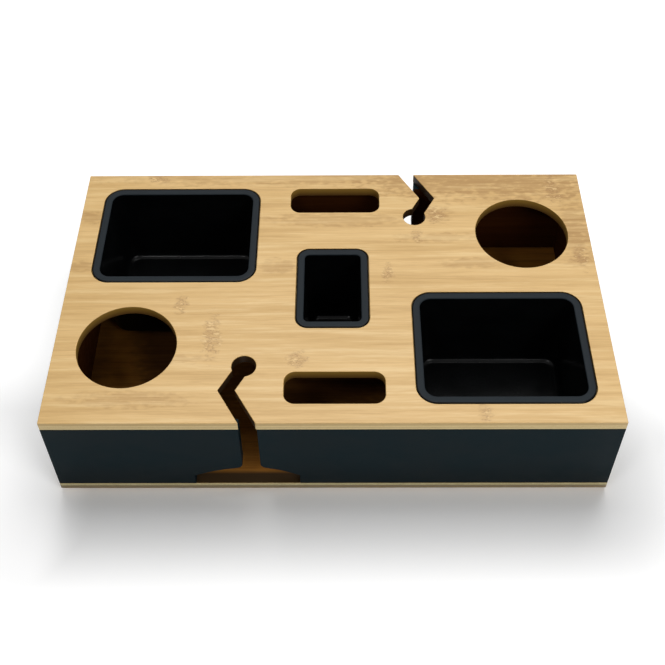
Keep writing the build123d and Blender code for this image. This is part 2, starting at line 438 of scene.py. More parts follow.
class Wiring:
    """A node tree that is being wired, for a material or for a node group."""

    # A Mix node's sockets for two colours and for their mixture
    mix_first, mix_second, mix_result = 6, 7, 2

    def __init__(self, tree: bpy.types.NodeTree) -> None:
        """Keep the tree, and start it empty."""
        self.tree = tree
        tree.nodes.clear()

    def node(self, kind: str, **settings: object) -> bpy.types.Node:
        """Add a node.

        Args:
            kind: The node's type.
            settings: Its properties by name.

        Returns:
            The node.
        """
        node = self.tree.nodes.new(kind)
        for name, value in settings.items():
            setattr(node, name, value)
        return node

    def feed(self, socket: Output, value: object) -> None:
        """Link a socket to an input, or set the input to a plain value.

        Args:
            socket: The input.
            value: The socket or the value that it gets.
        """
        if isinstance(value, Output):
            self.tree.links.new(value, socket)
        else:
            socket.default_value = value

    def math(self, operation: str, *values: object) -> Output:
        """Work a sum with a Math node.

        Args:
            operation: The node's operation.
            values: The sockets or numbers that it works on.

        Returns:
            The result.
        """
        node = self.node("ShaderNodeMath", operation=operation)
        for socket, value in zip(node.inputs, values):
            self.feed(socket, value)
        return node.outputs[0]

    def times(self, first: object, second: object) -> Output:
        """The product of two values."""
        return self.math("MULTIPLY", first, second)

    def centred(self, noise: object) -> Output:
        """A noise of 0 to 1, moved to lie round zero."""
        return self.math("SUBTRACT", noise, 0.5)

    def vector(self, operation: str, first: object, second: object) -> Output:
        """Work a sum with a Vector Math node.

        Args:
            operation: The node's operation.
            first: The vector that it works on.
            second: The other vector.

        Returns:
            The result.
        """
        node = self.node("ShaderNodeVectorMath", operation=operation)
        self.feed(node.inputs[0], first)
        self.feed(node.inputs[1], second)
        return node.outputs[0]

    def scaled(self, vector: object, by: Place) -> Output:
        """A vector, multiplied by factors for its X, Y and Z."""
        return self.vector("MULTIPLY", vector, by)

    def moved(self, vector: object, by: object) -> Output:
        """A vector with another one added."""
        return self.vector("ADD", vector, by)

    def noise(self, vector: object, detail: float = 2.0, rough: float = 0.5) -> Output:
        """Make a noise on a vector that is scaled already.

        Args:
            vector: The scaled vector.
            detail: How many finer layers the noise has.
            rough: How strong each finer layer is.

        Returns:
            The noise, of 0 to 1.
        """
        node = self.node("ShaderNodeTexNoise")
        node.inputs["Scale"].default_value = 1.0
        node.inputs["Detail"].default_value = detail
        node.inputs["Roughness"].default_value = rough
        self.feed(node.inputs["Vector"], vector)
        return node.outputs["Fac"]

    def spread(self, value: object, low: float, high: float, to: Range = (0.0, 1.0)) -> Output:
        """Spread what lies between two limits smoothly over another range.

        Args:
            value: The value.
            low: The lower limit.
            high: The upper limit.
            to: What the two limits become.

        Returns:
            The spread value.
        """
        node = self.node("ShaderNodeMapRange", interpolation_type="SMOOTHSTEP")
        self.feed(node.inputs["Value"], value)
        node.inputs["From Min"].default_value = low
        node.inputs["From Max"].default_value = high
        node.inputs["To Min"].default_value = to[0]
        node.inputs["To Max"].default_value = to[1]
        return node.outputs["Result"]

    def blend(self, share: object, first: object, second: object) -> Output:
        """Mix two colours.

        Args:
            share: The share of the second colour.
            first: The first colour.
            second: The second colour.

        Returns:
            The mixture.
        """
        node = self.node("ShaderNodeMix", data_type="RGBA")
        self.feed(node.inputs["Factor"], share)
        self.feed(node.inputs[self.mix_first], first)
        self.feed(node.inputs[self.mix_second], second)
        return node.outputs[self.mix_result]

    def parts(self, vector: object) -> tuple[Output, ...]:
        """Take a vector apart.

        Args:
            vector: The vector.

        Returns:
            Its X, Y and Z.
        """
        node = self.node("ShaderNodeSeparateXYZ")
        self.feed(node.inputs[0], vector)
        return tuple(node.outputs)

    def joined(self, *values: object) -> Output:
        """Put a vector together.

        Args:
            values: Its X, Y and Z.

        Returns:
            The vector.
        """
        node = self.node("ShaderNodeCombineXYZ")
        for socket, value in zip(node.inputs, values):
            self.feed(socket, value)
        return node.outputs[0]

    def place(self) -> Output:
        """The place on the piece in millimetres, from Object coordinates."""
        coordinates = self.node("ShaderNodeTexCoord")
        return self.scaled(coordinates.outputs["Object"], (1 / MM,) * 3)

    def group(self, tree: bpy.types.NodeTree, **values: object) -> bpy.types.Node:
        """Place a node group.

        Args:
            tree: The group.
            values: Its inputs, by their words joined with underscores.

        Returns:
            The group's node.
        """
        node = self.node("ShaderNodeGroup", node_tree=tree)
        for name, value in values.items():
            self.feed(node.inputs[name.replace("_", " ")], value)
        return node


@dataclass(frozen=True)
class Socket:
    """One input or output of a node group.

    Attributes:
        name: Its name.
        kind: Its kind.
        value: An input's first value.
    """

    name: str
    kind: str = "NodeSocketFloat"
    value: object = None


def new_group(name: str, inputs: Iterable[Socket], outputs: Iterable[Socket]) -> tuple[Wiring, dict, dict]:
    """Start a shader node group.

    Args:
        name: The group's name.
        inputs: Its inputs.
        outputs: Its outputs.

    Returns:
        The wiring, the sockets that give the inputs, and the sockets that take the outputs.
    """
    tree = bpy.data.node_groups.new(name, "ShaderNodeTree")
    for way, sockets in (("INPUT", inputs), ("OUTPUT", outputs)):
        for socket in sockets:
            made = tree.interface.new_socket(name=socket.name, in_out=way, socket_type=socket.kind)
            if socket.value is not None:
                made.default_value = socket.value
    wiring = Wiring(tree)
    source = wiring.node("NodeGroupInput")
    target = wiring.node("NodeGroupOutput")
    return wiring, {s.name: s for s in source.outputs}, {s.name: s for s in target.inputs}


def new_material(name: str) -> tuple[bpy.types.Material, Wiring, bpy.types.Node]:
    """Start a material with a Principled BSDF.

    Args:
        name: The material's name.

    Returns:
        The material, its wiring and its shader node.
    """
    material = bpy.data.materials.new(name)
    material.use_nodes = True
    wiring = Wiring(material.node_tree)
    shader = wiring.node("ShaderNodeBsdfPrincipled")
    output = wiring.node("ShaderNodeOutputMaterial")
    wiring.feed(output.inputs["Surface"], shader.outputs["BSDF"])
    return material, wiring, shader


def bump(wiring: Wiring, shader: bpy.types.Node, height: Output, depth: float, strength: float = 1.0) -> None:
    """Raise a height of 0 to 1 on a shader's normal.

    Args:
        wiring: The material's wiring.
        shader: The shader node.
        height: The height.
        depth: How deep the relief is, in metres.
        strength: How strongly it shows.
    """
    node = wiring.node("ShaderNodeBump")
    node.inputs["Strength"].default_value = strength
    node.inputs["Distance"].default_value = depth
    wiring.feed(node.inputs["Height"], height)
    wiring.feed(shader.inputs["Normal"], node.outputs["Normal"])


@dataclass
class SharedEffects:
    """Node groups that more than one finish uses, each built once.

    A scale says how quickly a pattern changes per millimetre along X, Y and Z, and a range which part of
    its noise is spread over 0 to 1.

    Attributes:
        drift_scale: Scale of the slow drift of the fibres.
        drift_reach: How far it moves them, in millimetres.
        wide_scale: Scale of the wide streaks.
        wide_range: Range of the wide streaks.
        streak_scale: Scale of the middling streaks.
        streak_range: Range of the middling streaks.
        fine_scale: Scale of the single fibres.
        fine_range: Range of the single fibres.
        rag_scale: Scale of the rags on a patch's outline.
        patch_range: Where a patch fades, in squares of its half size.
        cloud_scale: Scale of the slow cloud in paint and plastic.
        cloud_range: Range of that cloud.
    """

    drift_scale: Place = (0.006, 0.014, 0.014)
    drift_reach: float = 3.0
    wide_scale: Place = (0.006, 0.050, 0.050)
    wide_range: Range = (0.36, 0.64)
    streak_scale: Place = (0.006, 0.140, 0.140)
    streak_range: Range = (0.30, 0.70)
    fine_scale: Place = (0.024, 1.3, 1.3)
    fine_range: Range = (0.3, 0.7)
    rag_scale: Place = (0.13, 0.30, 0.30)
    patch_range: Range = (0.1, 1.3)
    cloud_scale: Place = (0.02, 0.02, 0.03)
    cloud_range: Range = (0.32, 0.68)

    def __post_init__(self) -> None:
        """Build the groups."""
        self.fibres = self.build_fibres()
        self.spot = self.build_spot()
        self.grit = self.build_grit()

    def build_fibres(self) -> bpy.types.NodeTree:
        """Build the lengthwise fibres of bamboo or wood, in wide, middling and fine streaks.

        Returns:
            A group that takes the place in millimetres with the grain along X.
        """
        wiring, given, taken = new_group(
            "lengthwise_fibres",
            [Socket("Place", "NodeSocketVector")],
            [Socket("Wide"), Socket("Streak"), Socket("Fine")],
        )
        drift = wiring.noise(wiring.scaled(given["Place"], self.drift_scale), detail=1)
        shift = wiring.times(wiring.centred(drift), self.drift_reach)
        place = wiring.moved(given["Place"], wiring.joined(0.0, shift, shift))
        wide = wiring.noise(wiring.scaled(place, self.wide_scale))
        streak = wiring.noise(wiring.scaled(place, self.streak_scale), detail=5, rough=0.78)
        fine = wiring.noise(wiring.scaled(place, self.fine_scale), detail=3, rough=0.65)
        wiring.feed(taken["Wide"], wiring.spread(wide, *self.wide_range))
        wiring.feed(taken["Streak"], wiring.spread(streak, *self.streak_range))
        wiring.feed(taken["Fine"], wiring.spread(fine, *self.fine_range))
        return wiring.tree

    def build_spot(self) -> bpy.types.NodeTree:
        """Build a soft patch with a ragged outline round a place seen from above.

        Returns:
            A group whose mask is 1 in the patch's middle and 0 outside it.
        """
        names = ("X", "Y", "Half Length", "Half Width", "Raggedness")
        wiring, given, taken = new_group(
            "soft_patch",
            [Socket("Place", "NodeSocketVector"), *(Socket(name, value=1.0) for name in names)],
            [Socket("Mask")],
        )
        x, y, _ = wiring.parts(given["Place"])
        along = wiring.math("DIVIDE", wiring.math("SUBTRACT", x, given["X"]), given["Half Length"])
        across = wiring.math("DIVIDE", wiring.math("SUBTRACT", y, given["Y"]), given["Half Width"])
        reach = wiring.math("ADD", wiring.math("POWER", along, 2.0), wiring.math("POWER", across, 2.0))
        ragged = wiring.noise(wiring.scaled(given["Place"], self.rag_scale))
        rags = wiring.times(wiring.centred(ragged), given["Raggedness"])
        mask = wiring.spread(wiring.math("ADD", reach, rags), *self.patch_range, to=(1.0, 0.0))
        wiring.feed(taken["Mask"], mask)
        return wiring.tree

    def build_grit(self) -> bpy.types.NodeTree:
        """Build the fine even texture of sprayed paint or moulded plastic.

        Returns:
            A group with a Height for a bump and a slow Cloud for colour and gloss.
        """
        wiring, given, taken = new_group(
            "fine_grit",
            [Socket("Place", "NodeSocketVector"), Socket("Grain Size", value=1.0)],
            [Socket("Height"), Socket("Cloud")],
        )
        factor = wiring.math("DIVIDE", 1.0, given["Grain Size"])
        scale = wiring.node("ShaderNodeVectorMath", operation="SCALE")
        wiring.feed(scale.inputs[0], given["Place"])
        wiring.feed(scale.inputs["Scale"], factor)
        wiring.feed(taken["Height"], wiring.noise(scale.outputs[0], rough=0.6))
        cloud = wiring.noise(wiring.scaled(given["Place"], self.cloud_scale), detail=3, rough=0.6)
        wiring.feed(taken["Cloud"], wiring.spread(cloud, *self.cloud_range))
        return wiring.tree


# Finishes


@dataclass(frozen=True)
class Patch:
    """A mark or a darker stretch on a board, in millimetres from the tray's middle.

    Attributes:
        x: Its middle along the tray's length.
        y: Its middle along the tray's depth.
        half_length: Half its size along X.
        half_width: Half its size along Y.
        depth: How dark a darker stretch is.
    """

    x: float
    y: float
    half_length: float
    half_width: float
    depth: float = 0.6


@dataclass(frozen=True)
class BoardWiring:
    """A board's wiring, with what all parts of its finish read.

    Attributes:
        nodes: The material's wiring.
        effects: The shared node groups.
        place: The place on the board in millimetres.
        fibres: The placed group of the board's fibres.
        low: Height of the board's underside in millimetres.
        high: Height of its top in millimetres.
    """

    nodes: Wiring
    effects: SharedEffects
    place: Output
    fibres: bpy.types.Node
    low: float
    high: float


@dataclass(frozen=True)
class BambooFinish:
    """Laminated bamboo under a clear satin coat, with its joints' dark flecks and its plies.

    Attributes:
        cream: Colour of the palest streaks.
        pale: Colour of the pale fibres.
        honey: Colour between them.
        toffee: Colour of the dark streaks.
        fleck: Colour of the small marks at the bamboo's joints.
        strip: Width of the laminated strips in millimetres.
        strip_start: How far in front of the tray's middle the strips are counted from.
        strip_share: How much the strips' own tones count, beside the wide streaks.
        cream_share: How strong the palest streaks are.
        toffee_share: How strong the dark streaks are.
        fine_share: How dark the single fibres are.
        raggedness: How uneven the outlines of marks and darker stretches are.
        shade_least: How much of a darker stretch reaches the palest streaks.
        wave_scale: How quickly the pattern in a joint's mark changes, per millimetre.
        crest_range: How near to a wave's middle height its dark line starts and ends.
        crest_share: How strong that line is.
        trough_range: Heights of a wave between which it turns pale.
        trough_share: How pale it turns.
        halo_share: How dark a joint's mark is all over.
        edge_pale: Colour of a pale ply on a cut edge.
        edge_dark: Colour of a dark ply on a cut edge.
        plies: How dark the three plies of a cut edge are, from the lowest up.
        ply_blur: Half the width over which one ply turns into the next, in millimetres.
        dot_scale: How quickly the pores on a cut edge change, per millimetre.
        dot_range: Range of their noise that is spread.
        dot_share: How dark they are.
        edge_fibre_share: How dark the fibres on a cut edge are.
        glue_range: Distances from a glue line between which it fades out.
        glue_share: How dark a glue line is.
        scorch_and_shade_top: Colour of an opening's side near the top face: the cut's burn colour, set
            near-black as painted shade in the slits and rebates.
        scorch_and_shade_low: Colour of that side near the underside, darker as painted shade.
        outside: Half the length and half the depth beyond which an edge is an outer one.
        outside_blur: Half the width of that change in millimetres.
        face_range: Shares of the normal's Z between which a side turns into a face.
        shade_strip_inset: How far out from the front and back edge the strip of painted shade under the walls
            starts, so below zero inside.
        shade_strip_share: How dark that painted shade is.
        shade_strip_soft: Half the width of its soft edge.
        gloss: Roughness of the coat, low and high.
        shine: Specular level of the coat.
        groove_share: How deep the fibres lie, in the relief's full height.
        groove_depth: The relief's full height in metres.
        groove_strength: How strongly the relief shows.
        sides_like_faces: Whether upright sides have the faces' colour too.
    """

    cream: Colour = (0.850, 0.618, 0.292, 1.0)
    pale: Colour = (0.745, 0.490, 0.194, 1.0)
    honey: Colour = (0.630, 0.395, 0.135, 1.0)
    toffee: Colour = (0.400, 0.220, 0.060, 1.0)
    fleck: Colour = (0.270, 0.125, 0.036, 1.0)
    strip: float = 21.0
    strip_start: float = 1000.0
    strip_share: float = 0.35
    cream_share: float = 0.50
    toffee_share: float = 0.34
    fine_share: float = 0.17
    raggedness: float = 3.2
    shade_least: float = 0.35
    wave_scale: Place = (0.20, 0.46, 0.46)
    crest_range: Range = (0.006, 0.055)
    crest_share: float = 0.52
    trough_range: Range = (0.57, 0.66)
    trough_share: float = 0.55
    halo_share: float = 0.28
    edge_pale: Colour = (0.800, 0.620, 0.290, 1.0)
    edge_dark: Colour = (0.630, 0.430, 0.170, 1.0)
    plies: Place = (0.0, 0.0, 0.8)
    ply_blur: float = 0.15
    dot_scale: Place = (0.9, 0.9, 1.6)
    dot_range: Range = (0.45, 0.65)
    dot_share: float = 0.35
    edge_fibre_share: float = 0.18
    glue_range: Range = (0.05, 0.30)
    glue_share: float = 0.55
    scorch_and_shade_top: Colour = (0.430, 0.250, 0.045, 1.0)
    scorch_and_shade_low: Colour = (0.150, 0.075, 0.018, 1.0)
    outside: Point = (224.2, 133.2)
    outside_blur: float = 0.1
    face_range: Range = (0.35, 0.60)
    shade_strip_inset: float = -4.5
    shade_strip_share: float = 0.0
    shade_strip_soft: float = 0.6
    gloss: Range = (0.40, 0.48)
    shine: float = 0.5
    groove_share: float = 0.6
    groove_depth: float = 0.04 * MM
    groove_strength: float = 0.5
    sides_like_faces: bool = False

    def material(
        self,
        effects: SharedEffects,
        name: str,
        low: float,
        high: float,
        joints: Sequence[Patch] = (),
        shades: Sequence[Patch] = (),
    ) -> bpy.types.Material:
        """Build the finish for one board.

        Args:
            effects: The shared node groups.
            name: The material's name.
            low: Height of the board's underside in millimetres.
            high: Height of its top in millimetres.
            joints: Where the bamboo's joints show as flecks.
            shades: Where the face is darker.

        Returns:
            The material.
        """
        material, wiring, shader = new_material(name)
        place = wiring.place()
        fibres = wiring.group(effects.fibres, Place=place)
        board = BoardWiring(wiring, effects, place, fibres, low, high)

        face = self.with_shades(board, self.face_colour(board), shades)
        face = self.with_joints(board, face, joints)
        # Painted shade: a dark strip along the front and back edges, under the walls.
        start, end = self.shade_strip_inset - self.shade_strip_soft, self.shade_strip_inset + self.shade_strip_soft
        shade_strip = wiring.times(wiring.spread(self.past_edge(board, 1), start, end), self.shade_strip_share)
        face = wiring.blend(shade_strip, face, self.fleck)
        colour = face if self.sides_like_faces else self.on_sides(board, face)
        wiring.feed(shader.inputs["Base Color"], colour)

        wiring.feed(shader.inputs["Roughness"], wiring.spread(fibres.outputs["Streak"], 0, 1, to=self.gloss))
        shader.inputs["Specular IOR Level"].default_value = self.shine
        height = wiring.math("ADD", wiring.times(fibres.outputs["Fine"], -self.groove_share), 1.0)
        bump(wiring, shader, height, self.groove_depth, self.groove_strength)
        return material

    def face_colour(self, board: BoardWiring) -> Output:
        """Colour the face by its strips, streaks and fibres.

        Args:
            board: The board's wiring.

        Returns:
            The colour.
        """
        wiring = board.nodes
        wide, streak, fine = (board.fibres.outputs[name] for name in ("Wide", "Streak", "Fine"))
        back = wiring.math("ADD", wiring.parts(board.place)[1], self.strip_start)
        tone = wiring.node("ShaderNodeTexWhiteNoise", noise_dimensions="1D")
        wiring.feed(tone.inputs["W"], wiring.math("FLOOR", wiring.math("DIVIDE", back, self.strip)))
        strips = wiring.times(tone.outputs["Value"], self.strip_share)
        level = wiring.math("ADD", wiring.times(wide, 1 - self.strip_share), strips)
        colour = wiring.blend(level, self.honey, self.pale)
        palest = wiring.spread(streak, 0.0, 0.5, to=(self.cream_share, 0.0))
        darkest = wiring.spread(streak, 0.5, 1.0, to=(0.0, self.toffee_share))
        colour = wiring.blend(palest, colour, self.cream)
        colour = wiring.blend(darkest, colour, self.toffee)
        return wiring.blend(wiring.times(fine, self.fine_share), colour, self.toffee)

    def with_shades(self, board: BoardWiring, face: Output, shades: Sequence[Patch]) -> Output:
        """Darken some stretches of the face, most of all along its dark streaks.

        Args:
            board: The board's wiring.
            face: The face's colour.
            shades: The darker stretches.

        Returns:
            The colour with them.
        """
        wiring = board.nodes
        by_streak = wiring.spread(board.fibres.outputs["Streak"], 0.0, 1.0, to=(self.shade_least, 1.0))
        for patch in shades:
            mask = wiring.times(self.patch_mask(board, patch), by_streak)
            face = wiring.blend(wiring.times(mask, patch.depth), face, self.toffee)
        return face

    def with_joints(self, board: BoardWiring, face: Output, joints: Sequence[Patch]) -> Output:
        """Draw the bamboo's joints on the face, as a darker mark with wavy lines and pale spots.

        Args:
            board: The board's wiring.
            face: The face's colour.
            joints: The marks.

        Returns:
            The colour with them.
        """
        wiring = board.nodes
        waves = wiring.noise(wiring.scaled(board.place, self.wave_scale), rough=0.6)
        crest = wiring.math("ABSOLUTE", wiring.centred(waves))
        crests = wiring.spread(crest, *self.crest_range, to=(self.crest_share, 0.0))
        troughs = wiring.spread(waves, *self.trough_range, to=(0.0, self.trough_share))
        layers = ((self.halo_share, self.toffee), (troughs, self.cream), (crests, self.fleck))
        for patch in joints:
            mask = self.patch_mask(board, patch)
            for share, colour in layers:
                face = wiring.blend(wiring.times(mask, share), face, colour)
        return face

    def patch_mask(self, board: BoardWiring, patch: Patch) -> Output:
        """Mask one mark or darker stretch.

        Args:
            board: The board's wiring.
            patch: The mark.

        Returns:
            The mask, 1 in its middle.
        """
        node = board.nodes.group(
            board.effects.spot,
            Place=board.place,
            X=patch.x,
            Y=patch.y,
            Half_Length=patch.half_length,
            Half_Width=patch.half_width,
            Raggedness=self.raggedness,
        )
        return node.outputs["Mask"]

    def past_edge(self, board: BoardWiring, axis: int) -> Output:
        """How far a place lies beyond an outer edge: of the ends for axis 0, of the long sides for 1."""
        from_middle = board.nodes.math("ABSOLUTE", board.nodes.parts(board.place)[axis])
        return board.nodes.math("SUBTRACT", from_middle, self.outside[axis])

    def on_sides(self, board: BoardWiring, face: Output) -> Output:
        """Give the upright sides their own colour: plies on outer edges, and in openings the cut's burn
        colour, darker towards the underside as painted shade.

        Args:
            board: The board's wiring.
            face: The face's colour.

        Returns:
            The colour of the whole board.
        """
        wiring = board.nodes
        z = wiring.parts(board.place)[2]
        # Painted shade: an opening's side turns darker from the top face down to the underside.
        burn_and_shade = wiring.blend(wiring.spread(z, board.low, board.high), self.scorch_and_shade_low, self.scorch_and_shade_top)
        past = wiring.math("MAXIMUM", self.past_edge(board, 0), self.past_edge(board, 1))
        outer = wiring.spread(past, -self.outside_blur, self.outside_blur)
        side = wiring.blend(outer, burn_and_shade, self.ply_colour(board))
        normal = wiring.parts(wiring.node("ShaderNodeNewGeometry").outputs["Normal"])
        on_face = wiring.spread(wiring.math("ABSOLUTE", normal[2]), *self.face_range)
        return wiring.blend(on_face, side, face)

    def ply_colour(self, board: BoardWiring) -> Output:
        """Colour a cut edge by its three plies, with thin glue lines between them.

        Args:
            board: The board's wiring.

        Returns:
            The colour.
        """
        wiring = board.nodes
        up = wiring.math("SUBTRACT", wiring.parts(board.place)[2], board.low)
        ply = (board.high - board.low) / len(self.plies)
        glues = (ply, 2 * ply)
        lowest, middle, highest = self.plies
        steps = ((lowest, middle), (0.0, highest - middle))
        second, third = (
            wiring.spread(up, glue - self.ply_blur, glue + self.ply_blur, to=step)
            for glue, step in zip(glues, steps)
        )
        dots = wiring.noise(wiring.scaled(board.place, self.dot_scale))
        core = wiring.times(wiring.spread(dots, *self.dot_range), self.dot_share)
        colour = wiring.blend(core, self.edge_pale, self.edge_dark)
        colour = wiring.blend(wiring.math("ADD", second, third), colour, self.edge_dark)
        fine = wiring.times(board.fibres.outputs["Fine"], self.edge_fibre_share)
        colour = wiring.blend(fine, colour, self.toffee)
        for glue in glues:
            away = wiring.math("ABSOLUTE", wiring.math("SUBTRACT", up, glue))
            line = wiring.spread(away, *self.glue_range, to=(self.glue_share, 0.0))
            colour = wiring.blend(line, colour, self.toffee)
        return colour


TOP_BAMBOO = BambooFinish()
# Near-black sides for the slits and the rims' rebates: painted shade in the narrow slits, and a painted
# shadow line round the rims.
SHADED_SLIT_BAMBOO = replace(TOP_BAMBOO, scorch_and_shade_top=(0.040, 0.019, 0.006, 1.0), scorch_and_shade_low=(0.020, 0.009, 0.003, 1.0))
# The base's two lower plies are dark: the plies' own tone, with painted shade where the base meets the floor.
BASE_BAMBOO = replace(
    TOP_BAMBOO,
    edge_pale=(0.600, 0.530, 0.270, 1.0),
    edge_dark=(0.200, 0.155, 0.080, 1.0),
    plies=(1.0, 0.9, 0.0),
)
# The floor inside the tray: its own brown, a strip of painted shade under the front and back walls, and
# patches of painted shade below the openings.
FLOOR_WOOD = BambooFinish(
    cream=(0.445, 0.198, 0.034, 1.0),
    pale=(0.385, 0.167, 0.027, 1.0),
    honey=(0.300, 0.117, 0.017, 1.0),
    toffee=(0.045, 0.016, 0.004, 1.0),
    fleck=(0.024, 0.015, 0.007, 1.0),
    shade_strip_inset=-10.0,
    shade_strip_share=0.95,
    shade_strip_soft=2.5,
    raggedness=0.5,
    shade_least=0.9,
    gloss=(0.60, 0.75),
    shine=0.1,
)
# Near-black brown for the walls' inner faces: painted shade for the closed tray's dark inside.
WALL_WOOD = BambooFinish(
    cream=(0.062, 0.019, 0.0030, 1.0),
    pale=(0.052, 0.015, 0.0022, 1.0),
    honey=(0.040, 0.011, 0.0016, 1.0),
    toffee=(0.022, 0.006, 0.0010, 1.0),
    fleck=(0.010, 0.004, 0.0010, 1.0),
    gloss=(0.60, 0.75),
    shine=0.06,
    sides_like_faces=True,
)


@dataclass(frozen=True)
class PaintFinish:
    """Satin blue-black paint on board, with painted shade that darkens it towards the foot of the walls.

    Attributes:
        colour: Colour of the paint.
        lighter: Colour where it lies a little thicker.
        foot: Colour near the base, a painted shade.
        foot_shade_reach: Heights in millimetres between which that painted shade fades out.
        foot_shade_share: How strong that painted shade is.
        gloss: Roughness, low and high.
        shine: Specular level.
        grain_size: Size of its grain in millimetres.
        grain_depth: Depth of its grain in metres.
        grain: Strength of its grain.
    """

    colour: Colour = (0.0010, 0.0082, 0.0114, 1.0)
    lighter: Colour = (0.0022, 0.0110, 0.0150, 1.0)
    foot: Colour = (0.0009, 0.0042, 0.0056, 1.0)
    foot_shade_reach: Range = (12.0, 50.0)
    foot_shade_share: float = 0.75
    gloss: Range = (0.42, 0.52)
    shine: float = 0.07
    grain_size: float = 0.7
    grain_depth: float = 0.02 * MM
    grain: float = 0.5

    def material(self, effects: SharedEffects, name: str) -> bpy.types.Material:
        """Build the paint.

        Args:
            effects: The shared node groups.
            name: The material's name.

        Returns:
            The material.
        """
        material, wiring, shader = new_material(name)
        place = wiring.place()
        grit = wiring.group(effects.grit, Place=place, Grain_Size=self.grain_size)
        cloud = grit.outputs["Cloud"]
        colour = wiring.blend(cloud, self.colour, self.lighter)
        # Painted shade: the paint turns darker towards the foot of the walls.
        foot = wiring.spread(wiring.parts(place)[2], *self.foot_shade_reach, to=(self.foot_shade_share, 0.0))
        wiring.feed(shader.inputs["Base Color"], wiring.blend(foot, colour, self.foot))
        wiring.feed(shader.inputs["Roughness"], wiring.spread(cloud, 0, 1, to=self.gloss))
        shader.inputs["Specular IOR Level"].default_value = self.shine
        bump(wiring, shader, grit.outputs["Height"], self.grain_depth, self.grain)
        return material


@dataclass(frozen=True)
class PlasticFinish:
    """Moulded charcoal plastic: satin on a bin's rim, and smooth inside it, where a much darker colour is
    painted shade.

    Attributes:
        colour: Colour of the plastic.
        scuffed: Colour where it is rubbed a little paler.
        gloss: Roughness, low and high.
        shine: Specular level.
        grain: Strength of its fine moulded grain.
        grain_size: Size of that grain in millimetres.
        grain_depth: Depth of that grain in metres.
    """

    colour: Colour
    scuffed: Colour
    gloss: Range
    shine: float
    grain: float
    grain_size: float = 0.45
    grain_depth: float = 0.02 * MM

    def material(self, effects: SharedEffects, name: str) -> bpy.types.Material:
        """Build the plastic.

        Args:
            effects: The shared node groups.
            name: The material's name.

        Returns:
            The material.
        """
        material, wiring, shader = new_material(name)
        grit = wiring.group(effects.grit, Place=wiring.place(), Grain_Size=self.grain_size)
        cloud = grit.outputs["Cloud"]
        wiring.feed(shader.inputs["Base Color"], wiring.blend(cloud, self.colour, self.scuffed))
        wiring.feed(shader.inputs["Roughness"], wiring.spread(cloud, 0, 1, to=self.gloss))
        shader.inputs["Specular IOR Level"].default_value = self.shine
        bump(wiring, shader, grit.outputs["Height"], self.grain_depth, self.grain)
        return material


SATIN_PLASTIC = PlasticFinish(
    colour=(0.0095, 0.0135, 0.0170, 1.0),
    scuffed=(0.0150, 0.0200, 0.0240, 1.0),
    gloss=(0.50, 0.60),
    shine=0.1,
    grain=0.4,
)
# The same plastic, much darker: painted shade inside the bins and a painted shadow line on the rim's rounded
# edge.
SHADED_SMOOTH_PLASTIC = PlasticFinish(
    colour=(0.0016, 0.0019, 0.0021, 1.0),
    scuffed=(0.0026, 0.0030, 0.0032, 1.0),
    gloss=(0.16, 0.21),
    shine=0.09,
    grain=0.05,
)


class DowelLie(Enum):
    """Which way a group of dowels lies, with the name of its wood."""

    LYING = "dowel_wood_lying"
    UPRIGHT = "dowel_wood_upright"


@dataclass(frozen=True)
class DowelFinish:
    """Plain pale beech, for the dowels.

    Attributes:
        pale: Colour of the wood.
        dark: Colour of its fibres.
        fibre_share: How dark the fibres are.
        gloss: Roughness, low and high.
        groove_depth: Depth of the fibres in metres.
    """

    pale: Colour = (0.560, 0.370, 0.200, 1.0)
    dark: Colour = (0.380, 0.220, 0.105, 1.0)
    fibre_share: float = 0.7
    gloss: Range = (0.55, 0.70)
    groove_depth: float = 0.05 * MM

    def material(self, effects: SharedEffects, lie: DowelLie) -> bpy.types.Material:
        """Build the wood, with its grain along the dowels.

        Args:
            effects: The shared node groups.
            lie: Which way the dowels lie.

        Returns:
            The material.
        """
        material, wiring, shader = new_material(lie.value)
        x, y, z = wiring.parts(wiring.place())
        along = wiring.joined(z, x, y) if lie is DowelLie.UPRIGHT else wiring.joined(y, x, z)
        fine = wiring.group(effects.fibres, Place=along).outputs["Fine"]
        colour = wiring.blend(wiring.times(fine, self.fibre_share), self.pale, self.dark)
        wiring.feed(shader.inputs["Base Color"], colour)
        wiring.feed(shader.inputs["Roughness"], wiring.spread(fine, 0, 1, to=self.gloss))
        bump(wiring, shader, fine, self.groove_depth)
        return material


@dataclass(frozen=True)
class SteelFinish:
    """Zinc-plated steel, for the screws.

    Attributes:
        bright: Colour of the plating.
        dull: Colour of its duller spangles.
        spangle_range: Range of the grain that is spread over the gloss.
        gloss: Roughness, low and high.
        grain_size: Size of the spangles in millimetres.
        grain_depth: Their depth in metres.
        grain: Their strength.
    """

    bright: Colour = (0.560, 0.570, 0.580, 1.0)
    dull: Colour = (0.330, 0.340, 0.350, 1.0)
    spangle_range: Range = (0.3, 0.7)
    gloss: Range = (0.25, 0.42)
    grain_size: float = 0.25
    grain_depth: float = 0.01 * MM
    grain: float = 0.4

    def material(self, effects: SharedEffects, name: str) -> bpy.types.Material:
        """Build the plated steel.

        Args:
            effects: The shared node groups.
            name: The material's name.

        Returns:
            The material.
        """
        material, wiring, shader = new_material(name)
        grit = wiring.group(effects.grit, Place=wiring.place(), Grain_Size=self.grain_size)
        height = grit.outputs["Height"]
        wiring.feed(shader.inputs["Base Color"], wiring.blend(height, self.bright, self.dull))
        shader.inputs["Metallic"].default_value = 1.0
        wiring.feed(shader.inputs["Roughness"], wiring.spread(height, *self.spangle_range, to=self.gloss))
        bump(wiring, shader, height, self.grain_depth, self.grain)
        return material


